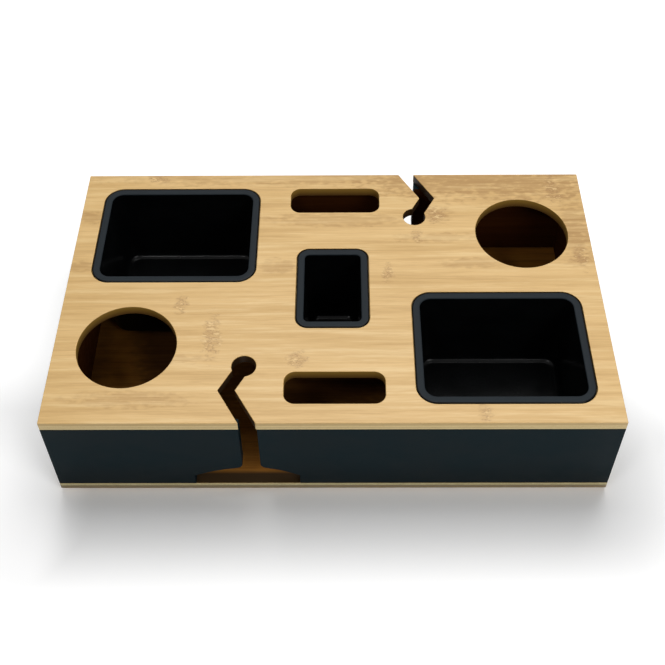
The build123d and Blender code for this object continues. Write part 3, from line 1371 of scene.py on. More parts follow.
@dataclass(frozen=True)
class RubberFinish:
    """Dark matt rubber, for the pads.

    Attributes:
        colour: Colour of the rubber.
        dusty: Colour of the dust in its grain.
        dust_range: Range of the grain that holds dust.
        dust_share: How strong the dust is.
        gloss: Roughness, low and high.
        shine: Specular level.
        grain_size: Size of its grain in millimetres.
        grain_depth: Depth of its grain in metres.
    """

    colour: Colour = (0.016, 0.016, 0.017, 1.0)
    dusty: Colour = (0.040, 0.038, 0.036, 1.0)
    dust_range: Range = (0.4, 0.8)
    dust_share: float = 0.6
    gloss: Range = (0.65, 0.85)
    shine: float = 0.3
    grain_size: float = 0.6
    grain_depth: float = 0.08 * MM

    def material(self, effects: SharedEffects, name: str) -> bpy.types.Material:
        """Build the rubber.

        Args:
            effects: The shared node groups.
            name: The material's name.

        Returns:
            The material.
        """
        material, wiring, shader = new_material(name)
        grit = wiring.group(effects.grit, Place=wiring.place(), Grain_Size=self.grain_size)
        height = grit.outputs["Height"]
        dust = wiring.times(wiring.spread(height, *self.dust_range), self.dust_share)
        wiring.feed(shader.inputs["Base Color"], wiring.blend(dust, self.colour, self.dusty))
        wiring.feed(shader.inputs["Roughness"], wiring.spread(height, 0, 1, to=self.gloss))
        shader.inputs["Specular IOR Level"].default_value = self.shine
        bump(wiring, shader, height, self.grain_depth)
        return material


# Pieces


@dataclass(frozen=True)
class TrayLayout:
    """Sizes and plan places that more than one piece of the tray follows, in metres.

    Attributes:
        slit_shift: How far both cable slits are moved, seen from their own side.
        mouth_out: From the tray's middle out to a slit's mouth and the trunk below it.
        flare_out: From the tray's middle out to the middle of a cable way's flare.
        flare_width: Width of the flare on the base.
        wall_thick: Thickness of the boards of the walls.
        rim_width: Width of a bin's rim.
        rim_thick: Thickness of a bin's rim.
        large_floor_corner: Radius of a large bin's floor corners.
        small_floor_corner: Radius of the centre bin's floor corners.
        half_length: Half the tray's length.
        half_depth: Half the tray's depth.
    """

    slit_shift: float = 1.1 * MM
    mouth_out: float = 66.2 * MM
    flare_out: float = 70.6 * MM
    flare_width: float = 85.5 * MM
    wall_thick: float = 10.0 * MM
    rim_width: float = 6.5 * MM
    rim_thick: float = 2.6 * MM
    large_floor_corner: float = 13.0 * MM
    small_floor_corner: float = 9.0 * MM
    half_length: float = cad_box[1][0]
    half_depth: float = cad_box[1][1]

    def from_side(self, side: int, out: float) -> float:
        """X of a place of the cable ways, seen from its own side of the tray."""
        return self.slit_shift * side - out


LAYOUT = TrayLayout()
SIDES = {"front": 1, "back": -1}
ENDS = {"left": -1, "right": 1}


@dataclass
class TopPanel:
    """The bamboo top with its openings, in metres.

    Attributes:
        large_rim: Length and depth of a large bin's rim.
        large_corner: Radius of that rim's corners.
        large_place: Middle of a large bin, outwards and backwards.
        small_rim: Length and depth of the centre bin's rim.
        small_corner: Radius of that rim's corners.
        rim_gap: Room round a rim in its rebate.
        body_room: Room between a bin's body and its opening.
        cup_place: Middle of a cup hole, outwards and backwards.
        cup_radius: Radius of a cup hole.
        slot_size: Length and depth of a phone slot.
        slot_corner: Radius of a slot's corners.
        slot_place: Middle of a slot, along and outwards.
        slit_width: Width of a cable slit.
        elbow_out: From the tray's middle out to a slit's elbow.
        elbow_in: From the tray's edge in to a slit's elbow.
        eye_out: From the tray's middle out to a slit's round eye.
        eye_in: From the tray's edge in to that eye.
        eye_radius: Radius of the eye.
        slit_reach: How far a slit's sides lie from the middle between its elbow and its mouth.
        front_margin: How far in from the tray's edge a slit's sides start to get their near-black painted
            shade.
        overrun: How far cutters run past the panel.
        ease: Rounding of the edges.
    """

    large_rim: Point = (140.6 * MM, 110.0 * MM)
    large_corner: float = 16.0 * MM
    large_place: Point = (136.1 * MM, 61.2 * MM)
    small_rim: Point = (61.0 * MM, 85.4 * MM)
    small_corner: float = 10.5 * MM
    rim_gap: float = 0.5 * MM
    body_room: float = 3.0 * MM
    cup_place: Point = (166.0 * MM, 61.2 * MM)
    cup_radius: float = 40.4 * MM
    slot_size: Point = (79.8 * MM, 29.8 * MM)
    slot_corner: float = 9.0 * MM
    slot_place: Point = (1.9 * MM, 101.3 * MM)
    slit_width: float = 13.4 * MM
    elbow_out: float = 83.9 * MM
    elbow_in: float = 30.2 * MM
    eye_out: float = 71.4 * MM
    eye_in: float = 53.2 * MM
    eye_radius: float = 9.9 * MM
    slit_reach: float = 22.0 * MM
    front_margin: float = 0.6 * MM
    overrun: float = 5.0 * MM
    ease: float = 0.5 * MM

    def seats(self) -> list[RoundedOutline]:
        """Lay out the three bins.

        Returns:
            The outlines of the left, the right and the centre bin's rim.
        """
        x, y = self.large_place
        return [
            RoundedOutline(-x, y, *self.large_rim, self.large_corner),
            RoundedOutline(x, -y, *self.large_rim, self.large_corner),
            RoundedOutline(0, 0, *self.small_rim, self.small_corner),
        ]

    def slit_cutter(self, side: int, low: float, high: float) -> Piece:
        """Draw a zig-zag cutter out from a slit's mouth over its elbow to its eye's middle.

        Args:
            side: 1 for the front slit, -1 for the back one.
            low: Height of the cutter's underside.
            high: Height of its top.

        Returns:
            The cutter.
        """
        front = -LAYOUT.half_depth
        stations = [
            (LAYOUT.from_side(side, LAYOUT.mouth_out), front),
            (LAYOUT.from_side(side, self.elbow_out), front + self.elbow_in),
            (LAYOUT.from_side(side, self.eye_out), front + self.eye_in),
        ]
        start = (side * stations[0][0], side * (front - self.overrun / 2), low)
        bpy.ops.mesh.primitive_plane_add(size=1, location=start)
        bpy.context.object.scale = (self.slit_width, self.overrun, 1)
        cutter = settle("slit_cutter")
        for (x, y), (next_x, next_y) in zip(stations, stations[1:]):
            line = side * y
            edit_edges(cutter, lambda a, b: max(abs(a.y - line), abs(b.y - line)) < TOUCH)
            draw_out(side * (next_x - x), side * (next_y - y), 0)
            leave_edit()
        edit_all(cutter)
        draw_out(0, 0, high - low)
        face_outwards()
        return cutter

    def build(self) -> Piece:
        """Model the panel: a board, its openings and slits, and its eased edges.

        Returns:
            The panel.
        """
        low_corner, high_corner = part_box("top_panel")
        panel = block("bamboo_top", tuple(low_corner), tuple(high_corner))
        low = low_corner.z - self.overrun
        top = high_corner.z
        high = top + self.overrun
        seats = self.seats()
        opening = self.body_room - LAYOUT.rim_width
        cutters = [seat.grown(opening).prism("bin_opening", low, high) for seat in seats]
        slot_x, slot_y = self.slot_place
        for y in (-slot_y, slot_y):
            slot = RoundedOutline(slot_x, y, *self.slot_size, self.slot_corner)
            cutters.append(slot.prism("slot_opening", low, high))
        cup_x, cup_y = self.cup_place
        rebates = [seat.grown(self.rim_gap).prism("rebate", top - LAYOUT.rim_thick, high) for seat in seats]
        for side in SIDES.values():
            cup = (-side * cup_x, -side * cup_y)
            cutters.append(round_prism("cup_opening", cup, self.cup_radius, low, high))
            cutters.append(self.slit_cutter(side, low, high))
            eye = (side * LAYOUT.from_side(side, self.eye_out), side * (self.eye_in - LAYOUT.half_depth))
            rebates.append(round_prism("slit_eye", eye, self.eye_radius, low, high))
        cut(panel, cutters)
        cut(panel, rebates)
        ease_edges(panel, self.ease)
        return panel

    def joints(self) -> list[Patch]:
        """Place the marks of the bamboo's joints on the top.

        Returns:
            The marks.
        """
        return [
            Patch(-161, 130, 11, 6),
            Patch(-126, -18, 6, 12),
            Patch(-98, -51, 8, 24),
            Patch(-28, -75, 9, 8),
            Patch(92, 84, 9, 11),
            Patch(74, 59, 6, 9),
            Patch(200, 116, 8, 21),
            Patch(214, 34, 7, 13),
            Patch(47, 15, 6, 12),
            Patch(118, -124, 6, 10),
        ]

    def shades(self) -> list[Patch]:
        """Place the darker stretches of the top: the grain's own tone, with painted shade towards the back
        and beside the right cup.

        Returns:
            The stretches.
        """
        return [
            Patch(-60, 134, 180, 14, 0.65),
            Patch(140, 134, 120, 34, 0.80),
            Patch(95, 121, 75, 14),
            Patch(190, 120, 45, 20, 0.70),
            Patch(214, 66, 16, 42, 0.95),
            Patch(90, 84, 18, 12),
            Patch(2, 78, 66, 9),
            Patch(90, 56, 40, 6),
            Patch(120, 26, 28, 6),
            Patch(213, 26, 16, 6),
            Patch(-47, 24, 16, 9),
            Patch(-215, 81, 12, 8),
            Patch(-216, 24, 12, 7),
            Patch(-160, -112, 50, 8),
            Patch(-130, -74, 40, 5),
        ]

    def in_slit(self, middle: Vector, normal: Vector) -> bool:
        """Tell the upright sides of a cable slit and its eye.

        Args:
            middle: A face's middle.
            normal: Its normal.

        Returns:
            Whether the face is one of them.
        """
        side = -1 if middle.y > 0 else 1
        across = side * middle.x - LAYOUT.from_side(side, (self.elbow_out + LAYOUT.mouth_out) / 2)
        inward = side * middle.y + LAYOUT.half_depth
        reach = self.eye_in + self.eye_radius + self.ease
        near = abs(across) < self.slit_reach and self.front_margin < inward < reach
        return near and abs(normal.z) < UPRIGHT_SHARE

    def rebate_test(self) -> Test:
        """Make a test for the faces of the bins' rebates.

        Returns:
            The test, true for a rebate's sides and ledge.
        """
        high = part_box("top_panel")[1].z - self.ease
        low = high - LAYOUT.rim_thick
        reaches = [seat.grown(2 * self.rim_gap) for seat in self.seats()]

        def in_rebate(middle: Vector, normal: Vector) -> bool:
            """Whether a face belongs to one of the rebates."""
            return low < middle.z < high and any(reach.beyond(middle) < 0 for reach in reaches)

        return in_rebate

    def dress(self, panel: Piece, effects: SharedEffects) -> None:
        """Give the panel its bamboo, with the slits' sides and the rebates near-black: painted shade in the
        slits and a painted shadow line round the rims.

        Args:
            panel: The panel.
            effects: The shared node groups.
        """
        board = heights("top_panel")
        face = TOP_BAMBOO.material(effects, "bamboo_top_face", *board, self.joints(), self.shades())
        # The second slot paints the slits' sides and the rebates near-black as painted shade.
        give_materials(panel, face, SHADED_SLIT_BAMBOO.material(effects, "bamboo_slit_sides_painted_shade", *board))
        paint_faces(panel, 1, self.in_slit)
        paint_faces(panel, 1, self.rebate_test())


@dataclass
class BasePanel:
    """The bamboo base with its chamfered lower edge and countersunk holes, in metres.

    Attributes:
        chamfer: Width of the chamfer along the lower edge.
        ease: Rounding of the other edges.
        hole_radius: Radius of a screw's hole.
        sink_radius: Radius of a countersink on the underside.
        hole_steps: Sides of a hole.
        overrun: How far the cutters run past the board.
        end_inset: From the tray's end in to the outermost screws.
        way_inset: From a cable way's flare to the screws beside it.
        side_inset: From a side wall's end in to its outer screws.
    """

    chamfer: float = 1.5 * MM
    ease: float = 0.35 * MM
    hole_radius: float = 1.8 * MM
    sink_radius: float = 3.95 * MM
    hole_steps: int = 48
    overrun: float = 1.0 * MM
    end_inset: float = 26.0 * MM
    way_inset: float = 13.0 * MM
    side_inset: float = 30.0 * MM

    def screw_points(self) -> list[Point]:
        """Place the screws below the middles of the walls' boards.

        Returns:
            Their middles, seen from above.
        """
        line_x = LAYOUT.half_length - LAYOUT.wall_thick / 2
        line_y = LAYOUT.half_depth - LAYOUT.wall_thick / 2
        beside = LAYOUT.flare_width / 2 + self.way_inset
        points = []
        for side in SIDES.values():
            flare = LAYOUT.from_side(side, LAYOUT.flare_out)
            start = -LAYOUT.half_length + self.end_inset
            long_start, end = flare + beside, LAYOUT.half_length - self.end_inset
            along = [start, flare - beside, long_start, (long_start + end) / 2, end]
            points += [(side * x, -side * line_y) for x in along]
        reach = LAYOUT.half_depth - LAYOUT.wall_thick - self.side_inset
        points += [(end * line_x, y) for end in ENDS.values() for y in (-reach, 0, reach)]
        return points

    def sink_cutter(self, low: float, high: float) -> Piece:
        """Model one countersunk hole: a cone that opens downwards with a narrow hole above it.

        Args:
            low: Height of the board's underside.
            high: Height of its top.

        Returns:
            The cutter, at the middle of the tray.
        """
        cone_high = low + self.sink_radius - self.hole_radius
        cone_low = low - self.overrun
        bpy.ops.mesh.primitive_cone_add(
            vertices=self.hole_steps,
            radius1=self.sink_radius + self.overrun,
            radius2=self.hole_radius,
            depth=cone_high - cone_low,
            location=(0, 0, (cone_high + cone_low) / 2),
        )
        cutter = settle("screw_hole")
        edit_faces(cutter, lambda middle, normal: normal.z > FACING_SHARE)
        draw_out(0, 0, high + self.overrun - cone_high)
        leave_edit()
        return cutter

    def build(self) -> Piece:
        """Model the base: a board with its lower edge chamfered, its holes and its eased edges.

        Returns:
            The base.
        """
        low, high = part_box("base_panel")
        base = block("bamboo_base", tuple(low), tuple(high))
        edit_edges(base, lambda a, b: max(a.z, b.z) < low.z + TOUCH)
        bpy.ops.mesh.bevel(offset=self.chamfer, segments=1, affect="EDGES")
        leave_edit()
        first = self.sink_cutter(low.z, high.z)
        cutters = []
        for x, y in self.screw_points():
            copy = first.copy()
            copy.data = first.data.copy()
            bpy.context.scene.collection.objects.link(copy)
            copy.location = (x, y, 0)
            cutters.append(copy)
        bpy.data.objects.remove(first)
        cut(base, cutters)
        ease_edges(base, self.ease)
        return base

    def joints(self) -> list[Patch]:
        """Place the marks of the bamboo's joints on the base.

        Returns:
            The marks.
        """
        return [
            Patch(-150, 60, 9, 12),
            Patch(-40, -90, 9, 10),
            Patch(60, 30, 9, 12),
            Patch(170, -60, 9, 10),
        ]

    def painted_shade_stretches(self) -> list[Patch]:
        """Place the painted shade on the floor inside the tray, below the front slot and eye and in the left
        cup.

        Returns:
            The stretches.
        """
        return [
            Patch(-15, -32, 115, 46, 0.92),
            Patch(-149, 8, 37, 66, 0.95),
            Patch(-222, 6, 26, 66, 0.70),
        ]

    def dress(self, base: Piece, effects: SharedEffects) -> None:
        """Give the base its bamboo, with the brown face inside the tray, which carries painted shade under
        the walls and below the openings.

        Args:
            base: The base.
            effects: The shared node groups.
        """
        board = heights("base_panel")
        # The floor's darker stretches are painted shade.
        floor_shade = self.painted_shade_stretches()
        give_materials(
            base,
            BASE_BAMBOO.material(effects, "bamboo_base_face", *board, self.joints()),
            FLOOR_WOOD.material(effects, "brown_floor_painted_shade", *board, shades=floor_shade),
        )
        top = board[1] * MM - TOUCH
        paint_faces(base, 1, lambda middle, normal: normal.z > FACING_SHARE and middle.z > top)


@dataclass
class SplitWall:
    """A front or back wall: two boards with the cable way between them, in metres.

    Attributes:
        name: The wall's side of the tray.
        side: 1 for the front wall, -1 for the back one.
        trunk_width: Width of the cable way's trunk.
        end_height: Height of the flare at its ends.
        roof_height: Height of the flare at the trunk.
        lead_share: How far the roof's curve runs level at both ends, as a share of its length.
        lead_rise_share: How much of the roof's rise lies at the curve's second point.
        nose: Radius of the rounded corner between the roof and the trunk.
        overrun: How far the cutter runs past the boards.
        ease: Rounding of the edges.
        roof_steps: Edges of the roof's curve.
        nose_steps: Edges of the rounded corner.
    """

    name: str
    side: int
    trunk_width: float = 14.5 * MM
    end_height: float = 12.5 * MM
    roof_height: float = 24.0 * MM
    lead_share: float = 0.34
    lead_rise_share: float = 0.55
    nose: float = 6.0 * MM
    overrun: float = 2.0 * MM
    ease: float = 0.4 * MM
    roof_steps: int = 18
    nose_steps: int = 8

    def rise(self, end_x: float, trunk_x: float) -> list[Point]:
        """Draw the roof from the flare's end to the trunk: a rising curve, then the rounded nose.

        Args:
            end_x: X of the flare's end.
            trunk_x: X of the trunk's edge.

        Returns:
            Points of X and height above the base.
        """
        lead = self.lead_share * (trunk_x - end_x)
        lead_height = self.end_height + self.lead_rise_share * (self.roof_height - self.end_height)
        along = (end_x, end_x + lead, trunk_x - lead, trunk_x)
        up = (self.end_height, lead_height, self.roof_height, self.roof_height)
        points = []
        for step in range(self.roof_steps + 1):
            t = step / self.roof_steps
            shares = ((1 - t) ** 3, 3 * t * (1 - t) ** 2, 3 * t**2 * (1 - t), t**3)
            x = sum(share * value for share, value in zip(shares, along))
            height = sum(share * value for share, value in zip(shares, up))
            if abs(trunk_x - x) > self.nose:
                points.append((x, height))
        turn = math.copysign(self.nose, trunk_x - end_x)
        for step in range(self.nose_steps + 1):
            angle = math.pi / 2 * step / self.nose_steps
            x = trunk_x - turn + turn * math.sin(angle)
            points.append((x, self.roof_height + self.nose * (1 - math.cos(angle))))
        return points

    def way_cutter(self, base_top: float) -> Piece:
        """Draw the cable way's flare as a cutter, step by step along its roof.

        Args:
            base_top: Height of the base's top.

        Returns:
            The cutter.
        """
        middle = LAYOUT.from_side(self.side, LAYOUT.flare_out)
        trunk = LAYOUT.from_side(self.side, LAYOUT.mouth_out)
        left = self.rise(middle - LAYOUT.flare_width / 2, trunk - self.trunk_width / 2)
        right = self.rise(middle + LAYOUT.flare_width / 2, trunk + self.trunk_width / 2)
        profile = left + right[::-1]
        low = base_top - self.overrun
        (x, height), (next_x, _) = profile[0], profile[1]
        bpy.ops.mesh.primitive_plane_add(size=1, rotation=(math.pi / 2, 0, 0))
        plane = bpy.context.object
        plane.scale = (next_x - x, base_top + height - low, 1)
        outer = -LAYOUT.half_depth - self.overrun
        plane.location = ((x + next_x) / 2, outer, (base_top + height + low) / 2)
        cutter = settle("way_cutter")
        for (last_x, last_height), (x, height) in zip(profile, profile[1:]):
            if last_x > profile[0][0]:
                edit_edges(cutter, lambda a, b: min(a.x, b.x) > last_x - HAIR)
                draw_out(x - last_x, 0, 0)
                leave_edit()
            edit_points(cutter, lambda point, normal: point.x > x - HAIR and point.z > base_top)
            bpy.ops.transform.translate(value=(0, 0, height - last_height))
            leave_edit()
        edit_all(cutter)
        draw_out(0, LAYOUT.wall_thick + 2 * self.overrun, 0)
        face_outwards()
        if self.side < 0:
            choose(cutter)
            cutter.rotation_euler = (0, 0, math.pi)
            bpy.ops.object.transform_apply(location=True, rotation=True, scale=True)
        return cutter

    def build(self) -> dict[str, Piece]:
        """Model the wall's two boards.

        Returns:
            The boards by the names of their CAD nodes.
        """
        boards = {}
        for end in ENDS:
            node = f"{self.name}_wall_{end}"
            low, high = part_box(node)
            board = block(f"{self.name}_board_{end}", tuple(low), tuple(high))
            cut(board, [self.way_cutter(low.z)])
            ease_edges(board, self.ease)
            boards[node] = board
        return boards

    def is_inner(self, middle: Vector, normal: Vector) -> bool:
        """Whether a face of the boards looks into the tray."""
        return normal.y * self.side > FACING_SHARE


@dataclass
class SideWall:
    """A left or right wall board, in metres.

    Attributes:
        name: The wall's end of the tray.
        end: 1 for the right wall, -1 for the left one.
        ease: Rounding of the edges.
    """

    name: str
    end: int
    ease: float = 0.4 * MM

    def build(self) -> dict[str, Piece]:
        """Model the board with its eased edges.

        Returns:
            The board by the name of its CAD node.
        """
        node = f"{self.name}_side_wall"
        low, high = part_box(node)
        board = block(f"{self.name}_end_board", tuple(low), tuple(high))
        ease_edges(board, self.ease)
        return {node: board}

    def is_inner(self, middle: Vector, normal: Vector) -> bool:
        """Whether a face of the board looks into the tray."""
        return normal.x * self.end < -FACING_SHARE


@dataclass
class Bin:
    """A moulded bin: a flat rim round a tapered, hollow body with a rounded floor, in metres.

    Attributes:
        name: The bin's CAD node, which is its body too.
        rim: Outline of its rim.
        floor_corner: Radius of the floor's corners, seen from above.
        wall: Thickness of its walls and floor.
        draw_in: How far the body is drawn in from top to bottom.
        floor_round: Rounding between the walls and the floor.
        mouth_round: Rounding of the rim's inner edge.
        rim_round: Rounding of the rim's outer edge.
        foot_round: Rounding of the rim's lower edge.
        line_width: How near to an outline a point has to lie to be on it.
        floor_steps: Edges of the rounding at the floor.
        rim_steps: Edges of the roundings of the rim.
    """

    name: str
    rim: RoundedOutline
    floor_corner: float
    wall: float = 2.2 * MM
    draw_in: float = 3.0 * MM
    floor_round: float = 6.0 * MM
    mouth_round: float = 0.9 * MM
    rim_round: float = 1.2 * MM
    foot_round: float = 0.3 * MM
    line_width: float = 0.05 * MM
    floor_steps: int = 8
    rim_steps: int = 4

    def build(self) -> Piece:
        """Model the bin: a rim block, inset from above and below, and bridged down to its floor and foot.

        Returns:
            The bin.
        """
        low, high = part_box(self.name)
        bottom, top = low.z, high.z
        floor_z, under = bottom + self.wall, top - LAYOUT.rim_thick
        mouth = self.rim.grown(-LAYOUT.rim_width)
        taper = self.draw_in * LAYOUT.rim_thick / (top - bottom)
        body = self.rim.grown(self.wall - LAYOUT.rim_width - taper)
        floor = mouth.drawn(self.draw_in, self.floor_corner)
        foot = mouth.grown(self.wall).drawn(self.draw_in, self.floor_corner + self.wall)
        piece = self.rim.prism(f"{self.name}_shell", under, top)
        for side, outline in ((1, mouth), (-1, body)):
            edit_faces(piece, lambda middle, normal: normal.z * side > FACING_SHARE)
            inset = (self.rim.length - outline.length) / 2
            bpy.ops.mesh.inset(thickness=inset, depth=0, use_even_offset=True)
            bpy.ops.mesh.delete(type="ONLY_FACE")
            leave_edit()
        piece = joined([piece, floor.ring("floor_ring", floor_z), foot.ring("foot_ring", bottom)])
        for pair in (((mouth, top), (floor, floor_z)), ((body, under), (foot, bottom))):
            self.pick(piece, pair)
            bpy.ops.mesh.bridge_edge_loops()
            leave_edit()
        for level in ((floor, floor_z), (foot, bottom)):
            self.pick(piece, (level,))
            bpy.ops.mesh.edge_face_add()
            leave_edit()
        edit_all(piece)
        face_outwards()
        self.round_off(piece, (floor, floor_z), self.floor_round, self.floor_steps)
        self.round_off(piece, (foot, bottom), self.floor_round + self.wall, self.floor_steps)
        self.round_off(piece, (mouth, top), self.mouth_round, self.rim_steps)
        self.round_off(piece, (self.rim, top), self.rim_round, self.rim_steps)
        self.round_off(piece, (self.rim, under), self.foot_round, 1)
        smooth(piece)
        return piece

    def round_off(self, piece: Piece, level: tuple[RoundedOutline, float], radius: float, steps: int) -> None:
        """Round one ring of the bin's edges.

        Args:
            piece: The bin.
            level: The ring's outline and height.
            radius: The rounding's radius.
            steps: Edges that the rounding is divided into.
        """
        self.pick(piece, (level,))
        bpy.ops.mesh.bevel(offset=radius, segments=steps, profile=0.5, affect="EDGES", clamp_overlap=False)
        leave_edit()

    def pick(self, piece: Piece, levels: Sequence[tuple[RoundedOutline, float]]) -> None:
        """Open the bin in edit mode with some rings of edges selected.

        Args:
            piece: The bin.
            levels: The rings' outlines and heights.
        """

        def near(outline: RoundedOutline, z: float, point: Vector) -> bool:
            """Whether a point lies on an outline at its height."""
            return abs(point.z - z) < TOUCH and abs(outline.beyond(point)) < self.line_width

        def on_level(a: Vector, b: Vector) -> bool:
            """Whether an edge runs along one of the outlines."""
            return any(near(outline, z, a) and near(outline, z, b) for outline, z in levels)

        edit_edges(piece, on_level)

    def dress(self, piece: Piece, satin: bpy.types.Material, shaded_smooth_plastic: bpy.types.Material) -> None:
        """Give the rim its satin plastic, with the smoother, darker one inside, outside and on the rim's
        edge: painted shade in the bin and a painted shadow line round the rim.

        Args:
            piece: The bin.
            satin: The plastic of the rim.
            shaded_smooth_plastic: The plastic of the rest, darker as painted shade.
        """
        give_materials(piece, satin, shaded_smooth_plastic)
        mouth = self.rim.grown(-LAYOUT.rim_width)
        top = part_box(self.name)[1].z

        def on_body(middle: Vector, normal: Vector) -> bool:
            """Tell the faces on the rim's rounded edge, below the rim or inside the mouth.

            Args:
                middle: A face's middle.
                normal: Its normal.

            Returns:
                Whether the face is one of them.
            """
            within = mouth.beyond(middle) < 0 and middle.z < top - self.mouth_round
            on_edge = self.rim.beyond(middle) > -self.rim_round
            return middle.z < top - LAYOUT.rim_thick or within or on_edge

        # The darker plastic is a painted shadow line on the rim's rounded edge, and painted shade inside the
        # bin.
        paint_faces(piece, 1, on_body)


# Studio


@dataclass(frozen=True)
class Softbox:
    """A lamp.

    Attributes:
        name: Its name.
        place: Where it hangs, in metres.
        size: Its width and height in metres.
        watts: Its power.
    """

    name: str
    place: Place
    size: Point
    watts: float


@dataclass
class Studio:
    """The pale floor, the white surroundings, the lamps and the camera.

    Attributes:
        lens: Focal length for the sensor.
        sensor: Width of the camera's sensor in millimetres.
        place: Where the camera stands, in metres.
        tilt: How far it looks down, in degrees.
        turn: How far it is turned about the upright, in degrees.
        roll: How far it is rolled, in degrees.
        rise: The share of the picture by which its middle is raised.
        ambient: Strength of the even light from all round.
        aim: The place that the lamps face.
        floor_size: Length of the floor's sides in metres.
        floor_colour: Colour of the floor.
        floor_rough: Roughness of the floor.
        glow_off: Distances from the tray in millimetres over which the floor starts to glow.
        glow_left: The same for the left of the tray.
        glow_left_share: How far the glow rises there.
        glow_backwards: Y in millimetres over which the glow starts beside and behind the tray.
        glow_far: Distances over which the glow rises from its near level to full white.
        glow_near_level: The glow near the tray.
    """

    lens: float = 58.915
    sensor: float = 36.0
    place: Place = (0.007757, -0.583352, 0.810270)
    tilt: float = 47.7103
    turn: float = 0.712
    roll: float = -0.7142
    rise: float = -0.15
    ambient: float = 0.11
    aim: Place = (0.0, 0.0, 0.1)
    floor_size: float = 8.0
    floor_colour: Colour = (0.95, 0.95, 0.95, 1.0)
    floor_rough: float = 0.9
    glow_off: Range = (34.0, 134.0)
    glow_left: Range = (-30.0, 15.0)
    glow_left_share: float = 0.5
    glow_backwards: Range = (-120.0, 10.0)
    glow_far: Range = (350.0, 1500.0)
    glow_near_level: float = 0.4

    def lamps(self) -> list[Softbox]:
        """Place the lamps: a wide one high behind the tray and two smaller ones in front of it.

        Returns:
            The lamps.
        """
        return [
            Softbox("lamp_behind", (0.12, 0.68, 1.87), (1.5, 1.2), 26.5),
            Softbox("lamp_front_left", (-0.50, -0.75, 1.35), (0.30, 0.05), 2.5),
            Softbox("lamp_front_right", (0.70, -0.90, 1.05), (0.60, 0.60), 6.2),
        ]

    def build(self) -> None:
        """Set up the whole studio."""
        bpy.context.scene.view_settings.view_transform = "Standard"
        self.add_floor()
        self.add_surroundings()
        for lamp in self.lamps():
            self.add_lamp(lamp)
        self.add_camera()

    def add_floor(self) -> None:
        """Add a wide pale floor that keeps the tray's shadow."""
        bpy.ops.mesh.primitive_plane_add(size=self.floor_size, location=(0, 0, 0))
        floor = settle("studio_floor")
        material, wiring, shader = new_material("studio_paper")
        shader.inputs["Base Color"].default_value = self.floor_colour
        shader.inputs["Roughness"].default_value = self.floor_rough
        shader.inputs["Specular IOR Level"].default_value = 0.0
        seen = wiring.node("ShaderNodeLightPath").outputs["Is Camera Ray"]
        glow = wiring.times(self.floor_glow(wiring), seen)
        wiring.feed(shader.inputs["Emission Color"], wiring.joined(glow, glow, glow))
        shader.inputs["Emission Strength"].default_value = 1.0
        floor.data.materials.append(material)

    def floor_glow(self, wiring: Wiring) -> Output:
        """Let the floor show white away from the tray, and rise to full white far off.

        Args:
            wiring: The floor's wiring.

        Returns:
            The glow.
        """
        x, y, _ = wiring.parts(wiring.place())
        squares = []
        for axis, half in ((x, LAYOUT.half_length), (y, LAYOUT.half_depth)):
            past = wiring.math("SUBTRACT", wiring.math("ABSOLUTE", axis), half / MM)
            squares.append(wiring.math("POWER", wiring.math("MAXIMUM", past, 0.0), 2.0))
        distance = wiring.math("SQRT", wiring.math("ADD", *squares))
        past_left = wiring.math("SUBTRACT", wiring.times(x, -1.0), LAYOUT.half_length / MM)
        beside = wiring.spread(past_left, *self.glow_left, to=(0.0, self.glow_left_share))
        behind = wiring.spread(y, *self.glow_backwards)
        off = wiring.math("MAXIMUM", beside, behind)
        off = wiring.math("MAXIMUM", wiring.spread(distance, *self.glow_off), off)
        level = wiring.spread(distance, *self.glow_far, to=(self.glow_near_level, 1.0))
        return wiring.times(off, level)

    def add_surroundings(self) -> None:
        """Show white where the camera or a reflection looks, and give an even dimmer light elsewhere."""
        world = bpy.data.worlds.new("white_surroundings")
        bpy.context.scene.world = world
        world.use_nodes = True
        wiring = Wiring(world.node_tree)
        path = wiring.node("ShaderNodeLightPath")
        seen = wiring.math("MAXIMUM", path.outputs["Is Camera Ray"], path.outputs["Is Glossy Ray"])
        seen = wiring.math("MAXIMUM", seen, path.outputs["Is Transmission Ray"])
        strength = wiring.math("ADD", wiring.times(seen, 1 - self.ambient), self.ambient)
        background = wiring.node("ShaderNodeBackground")
        background.inputs["Color"].default_value = (1, 1, 1, 1)
        wiring.feed(background.inputs["Strength"], strength)
        output = wiring.node("ShaderNodeOutputWorld")
        wiring.feed(output.inputs["Surface"], background.outputs["Background"])

    def add_lamp(self, lamp: Softbox) -> None:
        """Add one rectangular area lamp that faces the tray.

        Args:
            lamp: The lamp.
        """
        data = bpy.data.lights.new(lamp.name, "AREA")
        data.shape = "RECTANGLE"
        data.size, data.size_y = lamp.size
        data.energy = lamp.watts
        light = bpy.data.objects.new(lamp.name, data)
        bpy.context.scene.collection.objects.link(light)
        light.location = lamp.place
        facing = Vector(self.aim) - Vector(lamp.place)
        light.rotation_euler = facing.to_track_quat("-Z", "Y").to_euler()

    def add_camera(self) -> None:
        """Add the camera at the photograph's viewing angle."""
        data = bpy.data.cameras.new("photo_camera")
        data.lens = self.lens
        data.sensor_width = self.sensor
        data.shift_y = self.rise
        camera = bpy.data.objects.new("photo_camera", data)
        bpy.context.scene.collection.objects.link(camera)
        turned = Matrix.Rotation(math.radians(self.turn), 4, "Z")
        tilted = Matrix.Rotation(math.radians(90 - self.tilt), 4, "X")
        rolled = Matrix.Rotation(math.radians(self.roll), 4, "Z")
        camera.matrix_world = Matrix.Translation(self.place) @ turned @ tilted @ rolled
        bpy.context.scene.camera = camera


# The tray from its pieces


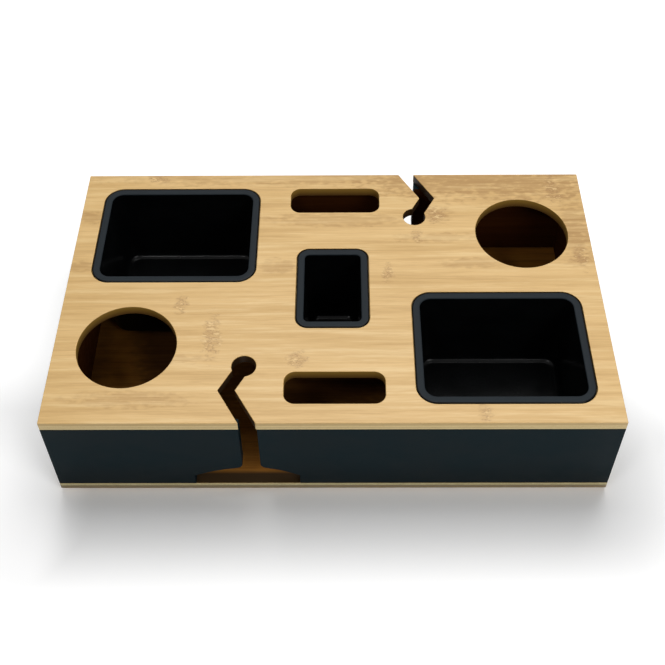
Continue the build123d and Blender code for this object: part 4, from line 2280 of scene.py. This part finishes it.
def adopt(piece: Piece, body: str, node: str) -> None:
    """Let a piece ride on a body and stand for its CAD node.

    Args:
        piece: The finished piece.
        body: The CAD body that it moves with.
        node: The CAD node that it replaces.
    """
    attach(piece, body)
    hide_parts(node)
    log.info("%s: %d faces, stands for %s", piece.name, len(piece.data.polygons), node)


def dress_node(name: str, material: bpy.types.Material) -> None:
    """Give a CAD node that stays its material.

    Args:
        name: The node's name.
        material: The material.
    """
    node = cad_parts[name]
    for slot in node.material_slots:
        slot.material = material
    if not node.material_slots:
        node.data.materials.append(material)
    log.info("%s: kept from the CAD model", name)


def add_panels(effects: SharedEffects) -> None:
    """Build the top and the base.

    Args:
        effects: The shared node groups.
    """
    top = TopPanel()
    panel = top.build()
    top.dress(panel, effects)
    adopt(panel, "carcass", "top_panel")
    bottom = BasePanel()
    base = bottom.build()
    bottom.dress(base, effects)
    adopt(base, "carcass", "base_panel")


def add_walls(effects: SharedEffects) -> None:
    """Build the walls, painted outside and in the cable ways, and near-black brown inside the tray as painted
    shade.

    Args:
        effects: The shared node groups.
    """
    paint = PaintFinish().material(effects, "blue_black_paint")
    # The inner faces' near-black brown is painted shade.
    shaded_inside = WALL_WOOD.material(effects, "inner_walls_painted_shade", *heights("left_side_wall"))
    walls = [SplitWall(name, side) for name, side in SIDES.items()]
    walls += [SideWall(name, end) for name, end in ENDS.items()]
    for wall in walls:
        for node, board in wall.build().items():
            give_materials(board, paint, shaded_inside)
            paint_faces(board, 1, wall.is_inner)
            adopt(board, "carcass", node)


def add_bins(effects: SharedEffects) -> None:
    """Build the three bins.

    Args:
        effects: The shared node groups.
    """
    satin = SATIN_PLASTIC.material(effects, "satin_charcoal_plastic")
    # The darker smooth plastic is painted shade.
    shaded_smooth_plastic = SHADED_SMOOTH_PLASTIC.material(effects, "shaded_smooth_charcoal_plastic")
    names = ("left_bin", "right_bin", "centre_bin")
    corners = (LAYOUT.large_floor_corner, LAYOUT.large_floor_corner, LAYOUT.small_floor_corner)
    for name, seat, corner in zip(names, TopPanel().seats(), corners):
        tub = Bin(name, seat, corner)
        shell = tub.build()
        tub.dress(shell, satin, shaded_smooth_plastic)
        adopt(shell, name, name)


def dress_fasteners(effects: SharedEffects) -> None:
    """Dress the dowels, the screws and the pads, which stay as the CAD model has them.

    Args:
        effects: The shared node groups.
    """
    dress_node("corner_dowels", DowelFinish().material(effects, DowelLie.LYING))
    dress_node("panel_dowels", DowelFinish().material(effects, DowelLie.UPRIGHT))
    dress_node("base_screws", SteelFinish().material(effects, "zinc_plated_steel"))
    rubber = RubberFinish().material(effects, "pad_rubber_matt")
    for row in SIDES:
        for end in ENDS:
            dress_node(f"{row}_{end}_grip_pad", rubber)


def main() -> None:
    """Build and dress every piece, then the studio round them."""
    effects = SharedEffects()
    add_panels(effects)
    add_walls(effects)
    add_bins(effects)
    dress_fasteners(effects)
    Studio().build()


if __name__ == "__main__":
    main()
